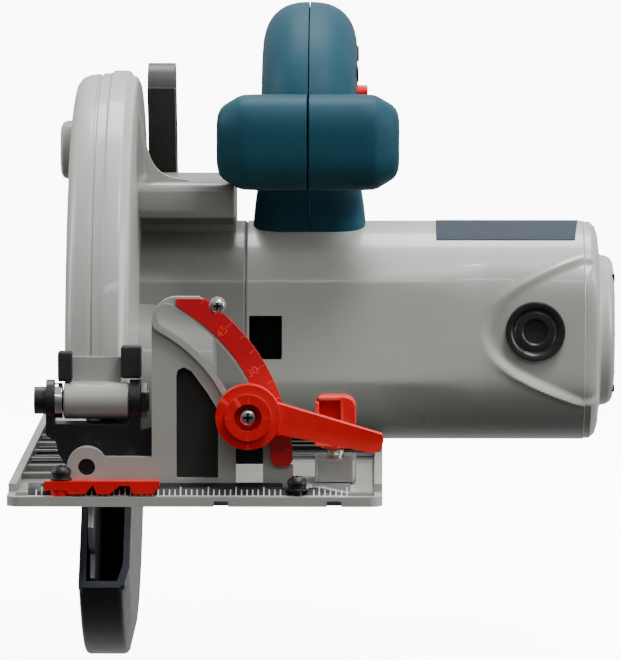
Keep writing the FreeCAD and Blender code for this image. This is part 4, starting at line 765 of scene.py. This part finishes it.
def base_screws():
    """Pan-head screws with a spring washer and a flat washer each."""
    low, high = box("base_screws")
    y = middle("base_screws").y
    parts, marks = [], []
    for x, z in ((low.x + WASHER, high.z - SCREW_STACK), (high.x - WASHER, SCREW_STACK)):
        top = z + 2.1
        flat = [(z, 1), (z, 3.7), (z + 0.2, 3.9), (z + 0.7, 3.9), (z + 0.9, 3.7), (z + 0.9, 1)]
        spring = [(z + 1.0, 1), (z + 1.0, 3.3), (z + 2.0, 3.3), (z + 2.0, 1)]
        head = [(top, 0.1), (top, 3.3), (top + 0.4, 3.6), (top + 1.4, 3.6), (top + 2.3, 3.0)]
        head += [(top + 3.0, 1.7), (top + 3.25, 0.1)]
        shank = [(0.6, 0.1), (0.6, 2.0), (z + 1, 2.0), (z + 1, 0.1)]
        for profile, steps in ((flat, 40), (spring, 40), (head, 40), (shank, 24)):
            parts.append(around("Z", (x, y), profile, steps=steps))
        marks.append(cross_recess((x, y, top + 3.22), "Z", 1.2, 1.7))
    piece("pan_screws", *join(*parts), "base", "black", "black_steel", ["base_screws"], bevel=0.08)
    # Painted shade: near-black crossed bars for the recesses.
    piece("pan_screw_recesses", *join(*marks), "base", "deep", "black_steel", bevel=0.05)


def lever_screw():
    """Round-headed screw on the hub of the bevel lever."""
    low, high = box("lever_screw")
    spot = middle("lever_screw")
    front = low.y
    profile = [(high.y, 0.1), (high.y, 3.1), (front + 1.2, 3.2), (front + 0.5, 2.7)]
    profile += [(front + 0.1, 1.6), (front, 0.1)]
    dish = around("Y", (spot.x, spot.z), profile, steps=48)
    recess = cross_recess((spot.x, front - 0.02, spot.z), "Y", 1.0, 1.7)
    piece("lever_screw_head", *dish, "bevel_lever", "chrome", "chrome_screw", ["lever_screw"])
    # Painted shade: near-black crossed bars for the recess.
    piece("lever_screw_recess", *recess, "bevel_lever", "deep", "chrome_screw", bevel=0.05)


def scale_screw():
    """The cross-head screw at the scale's rim."""
    front = box("scale_screws")[0].y
    spot = middle("scale_screws")
    profile = [(front + 1.5, 0.1), (front + 1.5, 2.4), (front + 0.5, 2.45), (front + 0.1, 2.0)]
    profile += [(front - 0.15, 1.2), (front - 0.2, 0.1)]
    head = around("Y", (spot.x, spot.z), profile, steps=36)
    recess = cross_recess((spot.x, front - 0.22, spot.z), "Y", 0.5, 1.35)
    piece("scale_screw_head", *head, "base", "chrome", "chrome_screw", ["scale_screws"])
    # Painted shade: near-black crossed bars for the recess.
    piece("scale_screw_recess", *recess, "base", "deep", "black_steel")


def brush_caps():
    """A ring and a recessed cap over each brush, at the front and the back of the motor."""
    low, high = box("brush_caps")
    ring = [
        (3.6, 7.9), (3.6, 11.25), (0.5, 11.25), (0.12, 11.0), (0.0, 10.5), (0.25, 9.3), (1.0, 8.6),
        (1.3, 7.9),
    ]
    cap = [
        (3.6, 0.1), (3.6, 7.4), (0.9, 7.4), (0.55, 7.1), (0.5, 5.2), (0.9, 4.6), (2.2, 4.3),
        (2.4, 0.1),
    ]
    parts = []
    for face, way in ((low.y, 1), (high.y, -1)):
        for profile in (ring, cap):
            turned = [(face + way * depth, radius) for depth, radius in profile]
            parts.append(around("Y", (BRUSH.x, BRUSH.z), turned, steps=72))
    outward_parts(piece(
        "brush_cap_rings", *join(*parts), "saw_body", "plastic", "black_plastic", ["brush_caps"],
    ))


def label_plate():
    """Curved blank plate on top of the motor."""
    low, high = box("label_plate")
    rings = []
    for degrees in np.arange(59.5, 101, 1.5):
        angle = math.radians(degrees)
        right = high.x - 2.3 + 2.2 * (degrees - 59.5) / 40
        row = []
        for x, lift in (
            (low.x, -0.3), (low.x, 0.12), (low.x + 0.3, 0.28), (right - 0.3, 0.28), (right, 0.12),
            (right, -0.3),
        ):
            r = RADIUS + lift
            row.append((x, AXIS_Y - r * math.cos(angle), AXIS_Z + r * math.sin(angle)))
        rings.append(row)
    piece("label_sheet", *loft(rings), "saw_body", "label", "label_print", ["label_plate"])


def ruler_marks():
    """White ticks every second millimetre up the ruler's slope, and a light line along its foot."""
    low, high = box("ruler_strip")
    foot = np.array([low.y, high.z - 4.5])
    climb = np.array([high.y, high.z]) - foot
    climb = climb / np.linalg.norm(climb)
    out = np.array([-climb[1], climb[0]])

    def stroke(left, right, start, stop):
        corners = [foot + climb * start - out * 0.05, foot + climb * stop - out * 0.05]
        corners += [foot + climb * stop + out * 0.05, foot + climb * start + out * 0.05]
        return loft([[(x, y, z) for y, z in corners] for x in (left, right)])

    marks = []
    for i in range(int((high.x - low.x) / 2)):
        x = high.x - 1 - 2 * i
        if screw_near(x):
            continue
        marks.append(stroke(x - 0.21, x + 0.21, 0.5, 4.6 if i % 5 == 0 else 3.3))
    marks.append(stroke(low.x, high.x, 0.3, 0.5))
    piece("ruler_ticks", *join(*marks), "base", "white", "ruler_print")


def screw_near(x):
    """True beside a base screw, where the ruler is cut away."""
    low, high = box("base_screws")
    return min(abs(x - low.x - 3.9), abs(x - high.x + 3.9)) < 5.6


def scale_marks():
    """Angle ticks every five degrees and figures on the bevel scale."""
    pivot = np.array(BEVEL_PIVOT)
    front = box("bevel_scale")[0].y
    outer, half = 74.4, 0.16
    marks = []
    for degrees in range(5, 57, 5):
        angle = math.radians(degrees)
        long = 3.2 if degrees % 15 == 0 else 2.4
        along = np.array([math.cos(angle), math.sin(angle)])
        side = np.array([-along[1], along[0]]) * half
        start, stop = pivot + along * (outer - long), pivot + along * (outer - 0.3)
        corners = [start - side, start + side, stop + side, stop - side]
        marks.append(loft([[(x, y, z) for x, z in corners] for y in (front - 0.06, front + 0.1)]))
    piece("scale_ticks", *join(*marks), "base", "red", "red_plastic")
    for degrees in (15, 30, 45):
        figure(degrees, 69.2, front - 0.04)


def figure(degrees, radius, front):
    """A raised figure on the bevel scale, turned with the arc."""
    text = str(degrees)
    curve = bpy.data.curves.new("figure_" + text, "FONT")
    curve.body = text
    curve.size = 4.2 * MM
    curve.align_x = "CENTER"
    curve.align_y = "CENTER"
    curve.extrude = 0.06 * MM
    drawn = bpy.data.objects.new("figure_" + text, curve)
    bpy.context.scene.collection.objects.link(drawn)
    angle = math.radians(degrees)
    x, z = BEVEL_PIVOT[0] + radius * math.cos(angle), BEVEL_PIVOT[1] + radius * math.sin(angle)
    spot = Vector((x, front, z)) * MM
    turn = Matrix.Rotation(math.radians(90), 4, "X") @ Matrix.Rotation(angle, 4, "Z")
    drawn.matrix_world = Matrix.Translation(spot) @ turn
    bpy.context.view_layer.update()
    mesh = bpy.data.meshes.new_from_object(drawn)
    mesh.transform(drawn.matrix_world)
    bpy.data.objects.remove(drawn)
    thing = bpy.data.objects.new("scale_figure_" + text, mesh)
    bpy.context.scene.collection.objects.link(thing)
    mesh.materials.clear()
    mesh.materials.append(LOOKS["red"])
    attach(thing, "base")


def floor_mats():
    """Black ribbed sheets laid on the base's floor beside the blade slot."""
    top = 3.62
    parts = []
    for left, right, front, rear in ((-64.2, -47.6, -62, 98), (-4.4, 64.2, -28, 98)):
        parts.append(block((left, front, top - 0.3), (right, rear, top + 0.5)))
        y = front + 9
        while y < rear - 4:
            parts.append(block((left, y, top), (right, y + 1.6, top + 1.5)))
            y += 15.5
    piece("dark_floor_sheets", *join(*parts), "base", "black", "black_steel", bevel=0.3)


def fence_wing():
    """Red thumb wing: a hollow left side, a thick right side and a round foot."""
    low, high = box("fence_wing")
    front, rear = low.y, high.y
    left, right, top = low.x, high.x, high.z
    bottom = low.z
    split = left + 0.62 * (right - left)
    outline = [
        (left, bottom + 3), (left + 0.4, bottom + 1.5), (left + 2, bottom), (right - 2, bottom),
        (right - 0.4, bottom + 1.5), (right, bottom + 3), (right, top - 3.4), (right - 1.2, top - 1.2),
        (right - 3.4, top), (left + 3, top + 0.1), (left + 1.1, top - 0.7), (left, top - 2.6),
    ]
    back = [[(x, y, z) for x, z in outline] for y in (front + 4.4, rear)]
    walls = [
        block((left, front, bottom), (left + 1.5, front + 4.6, top - 2)),
        block((left + 1.2, front, top - 1.5), (split + 1, front + 4.6, top)),
        block((left + 1, front, bottom), (split + 1, front + 4.6, bottom + 4)),
    ]
    thick = [
        (split, bottom), (right, bottom), (right, top - 3.4), (right - 1.2, top - 1.2),
        (right - 3.4, top), (split, top),
    ]
    slab = [[(x, y, z) for x, z in thick] for y in (front - 0.4, front + 4.6)]
    hub = [(bottom - 1.2, 0.5), (bottom - 1.2, 5.2), (bottom + 0.5, 6), (bottom + 0.5, 0.5)]
    foot = around("Z", ((left + right) / 2, (front + rear) / 2), hub, steps=40)
    verts, faces = join(loft(back), loft(slab), *walls, foot)
    piece("thumb_wing", verts, faces, "fence_wing", "red", "red_plastic", ["fence_wing"], bevel=0.5)


def fence_spring():
    """Coil spring under the wing."""
    low, high = box("fence_spring")
    spot = middle("fence_spring")
    radius, wire = 2.75, 0.42
    turns, count, sides = 4.5, 150, 8
    up = np.array([0, 0, 1])
    rings = []
    for i in range(count):
        angle = 2 * math.pi * turns * i / (count - 1)
        z = low.z + wire + (high.z - low.z - 2 * wire) * i / (count - 1)
        centre = np.array([spot.x + radius * math.cos(angle), spot.y + radius * math.sin(angle), z])
        out = np.array([math.cos(angle), math.sin(angle), 0])
        around_wire = np.linspace(0, 2 * math.pi, sides + 1)[:-1]
        rings.append([centre + wire * (math.cos(a) * out + math.sin(a) * up) for a in around_wire])
    piece("coil_spring", *loft(rings), "base", "zinc", "zinc_steel", ["fence_spring"])


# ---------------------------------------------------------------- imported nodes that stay

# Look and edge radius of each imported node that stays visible.
NODE_LOOKS = {
    "base_plate": ("cast", 0.6), "ruler_strip": ("ruler", 0.0), "cut_guide": ("red", 0.7),
    "front_quadrant": ("cast", 0.55), "bevel_scale": ("scale", 0.35), "fence_block": ("zinc", 0.5),
    "fence_screw": ("zinc", 0.2), "rear_bracket": ("cast", 0.6), "tilt_bracket": ("black", 1.1),
    "bevel_pins": ("black", 0.2), "pivot_bolt": ("black", 1.3), "pivot_washers": ("chrome", 0.25),
    "pivot_nut": ("black", 0.35), "depth_arm": ("arm", 2.2), "bevel_bolt": ("zinc", 0.2),
    "bevel_lever": ("red", 0.9), "bumpers": ("rubber", 0.9), "field_stator": ("lamination", 0.0),
    "field_coils": ("copper", 0.5), "brush_holders": ("plastic", 0.2), "carbon_brushes": ("plastic", 0.2),
    "spindle_bearings": ("zinc", 0.3), "motor_bearings": ("zinc", 0.3), "switch_block": ("plastic", 0.4),
    "handle_screws": ("black", 0.2), "cord_gland": ("rubber", 0.5), "depth_bolt": ("zinc", 0.2),
    "depth_lever": ("plastic", 0.8), "blade": ("blade", 0.1), "inner_flange": ("zinc", 0.3),
    "outer_flange": ("zinc", 0.5), "blade_bolt": ("black", 0.4), "spindle": ("zinc", 0.3),
    "spindle_gear": ("zinc", 0.1), "armature_shaft": ("zinc", 0.3), "pinion": ("zinc", 0.1),
    "armature_core": ("lamination", 0.2), "commutator": ("copper", 0.2),
    "armature_windings": ("copper", 0.8),
    "cooling_fan": ("plastic", 0.3), "guard_spring": ("zinc", 0.3), "trigger": ("plastic", 1.2),
    "lock_off_button": ("red", 0.5), "spindle_lock_button": ("plastic", 0.6),
}


def darken_recesses(thing):
    """Painted shade on the quadrant: near-black on the blind window's floor and the darker case grey on the
    walls inside the arc slot.
    """
    thing.data.materials.append(LOOKS["dim"])
    thing.data.materials.append(LOOKS["case"])
    pivot_x, pivot_z = BEVEL_PIVOT
    for face in thing.data.polygons:
        x, y, z = thing.matrix_world @ face.center / MM
        reach = math.hypot(x - pivot_x, z - pivot_z)
        # Window floor and slot walls get darker looks as painted shade.
        if face.normal.y < -0.9 and -132.2 < y < -131.0 and -7 < x < 9 and z > 9:
            face.material_index = 1
        elif abs(face.normal.y) < 0.3 and abs(reach - 61.4) < 4.4 and z > 20:
            face.material_index = 2


def dress_nodes():
    """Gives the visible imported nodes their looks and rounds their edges."""
    for name, (look, bevel) in NODE_LOOKS.items():
        thing = nodes[name]
        thing.data.materials.clear()
        thing.data.materials.append(LOOKS[look])
        for face in thing.data.polygons:
            face.material_index = 0
            face.use_smooth = True
        thing.data.set_sharp_from_angle(angle=math.radians(30))
        if name == "front_quadrant":
            darken_recesses(thing)
        weld = thing.modifiers.new("weld", "WELD")
        weld.merge_threshold = 1e-6
        if bevel:
            made = thing.modifiers.new("edge", "BEVEL")
            made.width = bevel * MM
            made.segments = 3
            made.limit_method = "ANGLE"
            made.angle_limit = math.radians(32)
            made.use_clamp_overlap = True
        flow = thing.modifiers.new("flow", "WEIGHTED_NORMAL")
        flow.keep_sharp = False


# ---------------------------------------------------------------- stage


FLOOR_GLOW = 9.5


def stage():
    """A bright floor curving up to a round wall; it shows white and casts no light on the saw."""
    floor_z = cad_low.z / MM - 2
    flat, bend = 5000, 1500
    line = [(20, 0), (1500, 0), (flat, 0)]
    for angle in np.linspace(0.1, math.pi / 2, 14):
        line.append((flat + bend * math.sin(angle), bend - bend * math.cos(angle)))
    line += [(flat + bend, 6000)]
    count = 96
    verts = [(0, 0, floor_z)]
    faces = []
    for radius, rise in line:
        for i in range(count):
            angle = 2 * math.pi * i / count
            verts.append((radius * math.cos(angle), radius * math.sin(angle), floor_z + rise))
    for i in range(count):
        faces.append((0, 1 + i, 1 + (i + 1) % count))
    for k in range(len(line) - 1):
        for i in range(count):
            here, after = 1 + k * count, 1 + (k + 1) * count
            faces.append((here + i, after + i, after + (i + 1) % count, here + (i + 1) % count))
    mesh = bpy.data.meshes.new("floor")
    mesh.from_pydata([tuple(c * MM for c in v) for v in verts], [], faces)
    for face in mesh.polygons:
        face.use_smooth = True
    floor = bpy.data.objects.new("floor", mesh)
    look = Look("floor_white", (0.92, 0.92, 0.92, 1), 0.7).vary(3, 0.01)
    look.set("Emission Color", (1, 1, 1, 1))
    look.set("Emission Strength", FLOOR_GLOW)
    mesh.materials.append(look.material)
    bpy.context.scene.collection.objects.link(floor)
    floor.visible_diffuse = False
    floor.visible_glossy = False
    floor.visible_shadow = False


def sky():
    """Soft surround: dim in front and below, brighter above and behind."""
    world = bpy.data.worlds.new("studio")
    bpy.context.scene.world = world
    world.use_nodes = True
    tree = world.node_tree
    back = tree.nodes["Background"]
    coords = tree.nodes.new("ShaderNodeTexCoord")
    split = tree.nodes.new("ShaderNodeSeparateXYZ")
    tree.links.new(coords.outputs["Generated"], split.inputs["Vector"])
    total = tree.nodes.new("ShaderNodeMath")
    total.operation = "ADD"
    ramps = (("Z", -0.2, 1.0, 0.1, 0.6), ("Y", 0.3, 1.0, 0.0, 0.6))
    for index, (axis, low, high, dim, bright) in enumerate(ramps):
        span = tree.nodes.new("ShaderNodeMapRange")
        span.interpolation_type = "SMOOTHSTEP"
        for socket, value in (("From Min", low), ("From Max", high), ("To Min", dim), ("To Max", bright)):
            span.inputs[socket].default_value = value
        tree.links.new(split.outputs[axis], span.inputs["Value"])
        tree.links.new(span.outputs["Result"], total.inputs[index])
    tree.links.new(total.outputs["Value"], back.inputs["Strength"])
    back.inputs["Color"].default_value = (1.0, 1.0, 1.0, 1.0)


def lamp(name, spot, aim, power, width, height):
    data = bpy.data.lights.new(name, "AREA")
    data.shape = "RECTANGLE"
    data.size, data.size_y = width, height
    data.energy = power
    thing = bpy.data.objects.new(name, data)
    bpy.context.scene.collection.objects.link(thing)
    thing.location = spot
    thing.rotation_mode = "QUATERNION"
    thing.rotation_quaternion = (Vector(aim) - Vector(spot)).to_track_quat("-Z", "Y")


def lights():
    lamp("key", (0.42, -0.42, 1.2), (0.03, 0, 0.06), 17, 0.4, 0.4)
    lamp("strip", (0.3, -1.2, 0.95), (0.03, 0, 0.06), 3.8, 1.1, 0.07)
    lamp("top", (0.1, 0.6, 1.4), (0, 0.05, 0.05), 24, 0.9, 0.6)
    lamp("left", (-1.2, 0.1, 0.6), (-0.05, 0, 0.05), 13, 0.5, 0.9)
    lamp("right", (1.3, -0.2, 0.45), (0.1, 0, 0.05), 15, 0.5, 0.9)


def camera():
    data = bpy.data.cameras.new("camera")
    data.sensor_width = 36.0
    data.lens = 358.9
    data.clip_start, data.clip_end = 0.1, 50
    eye = bpy.data.objects.new("camera", data)
    bpy.context.scene.collection.objects.link(eye)
    eye.location = (0.0677, -2.494, 0.2766)
    eye.rotation_euler = (math.radians(90 - 5.17), 0, math.radians(0.63))
    bpy.context.scene.camera = eye


camera()
stage()
sky()
lights()
dress_nodes()
motor_housing()
end_cap()
gear_case()
upper_guard()
lower_guard()
handle_half(-1, "handle_left")
handle_half(1, "handle_right")
base_screws()
lever_screw()
scale_screw()
brush_caps()
label_plate()
floor_mats()
fence_wing()
fence_spring()
ruler_marks()
scale_marks()
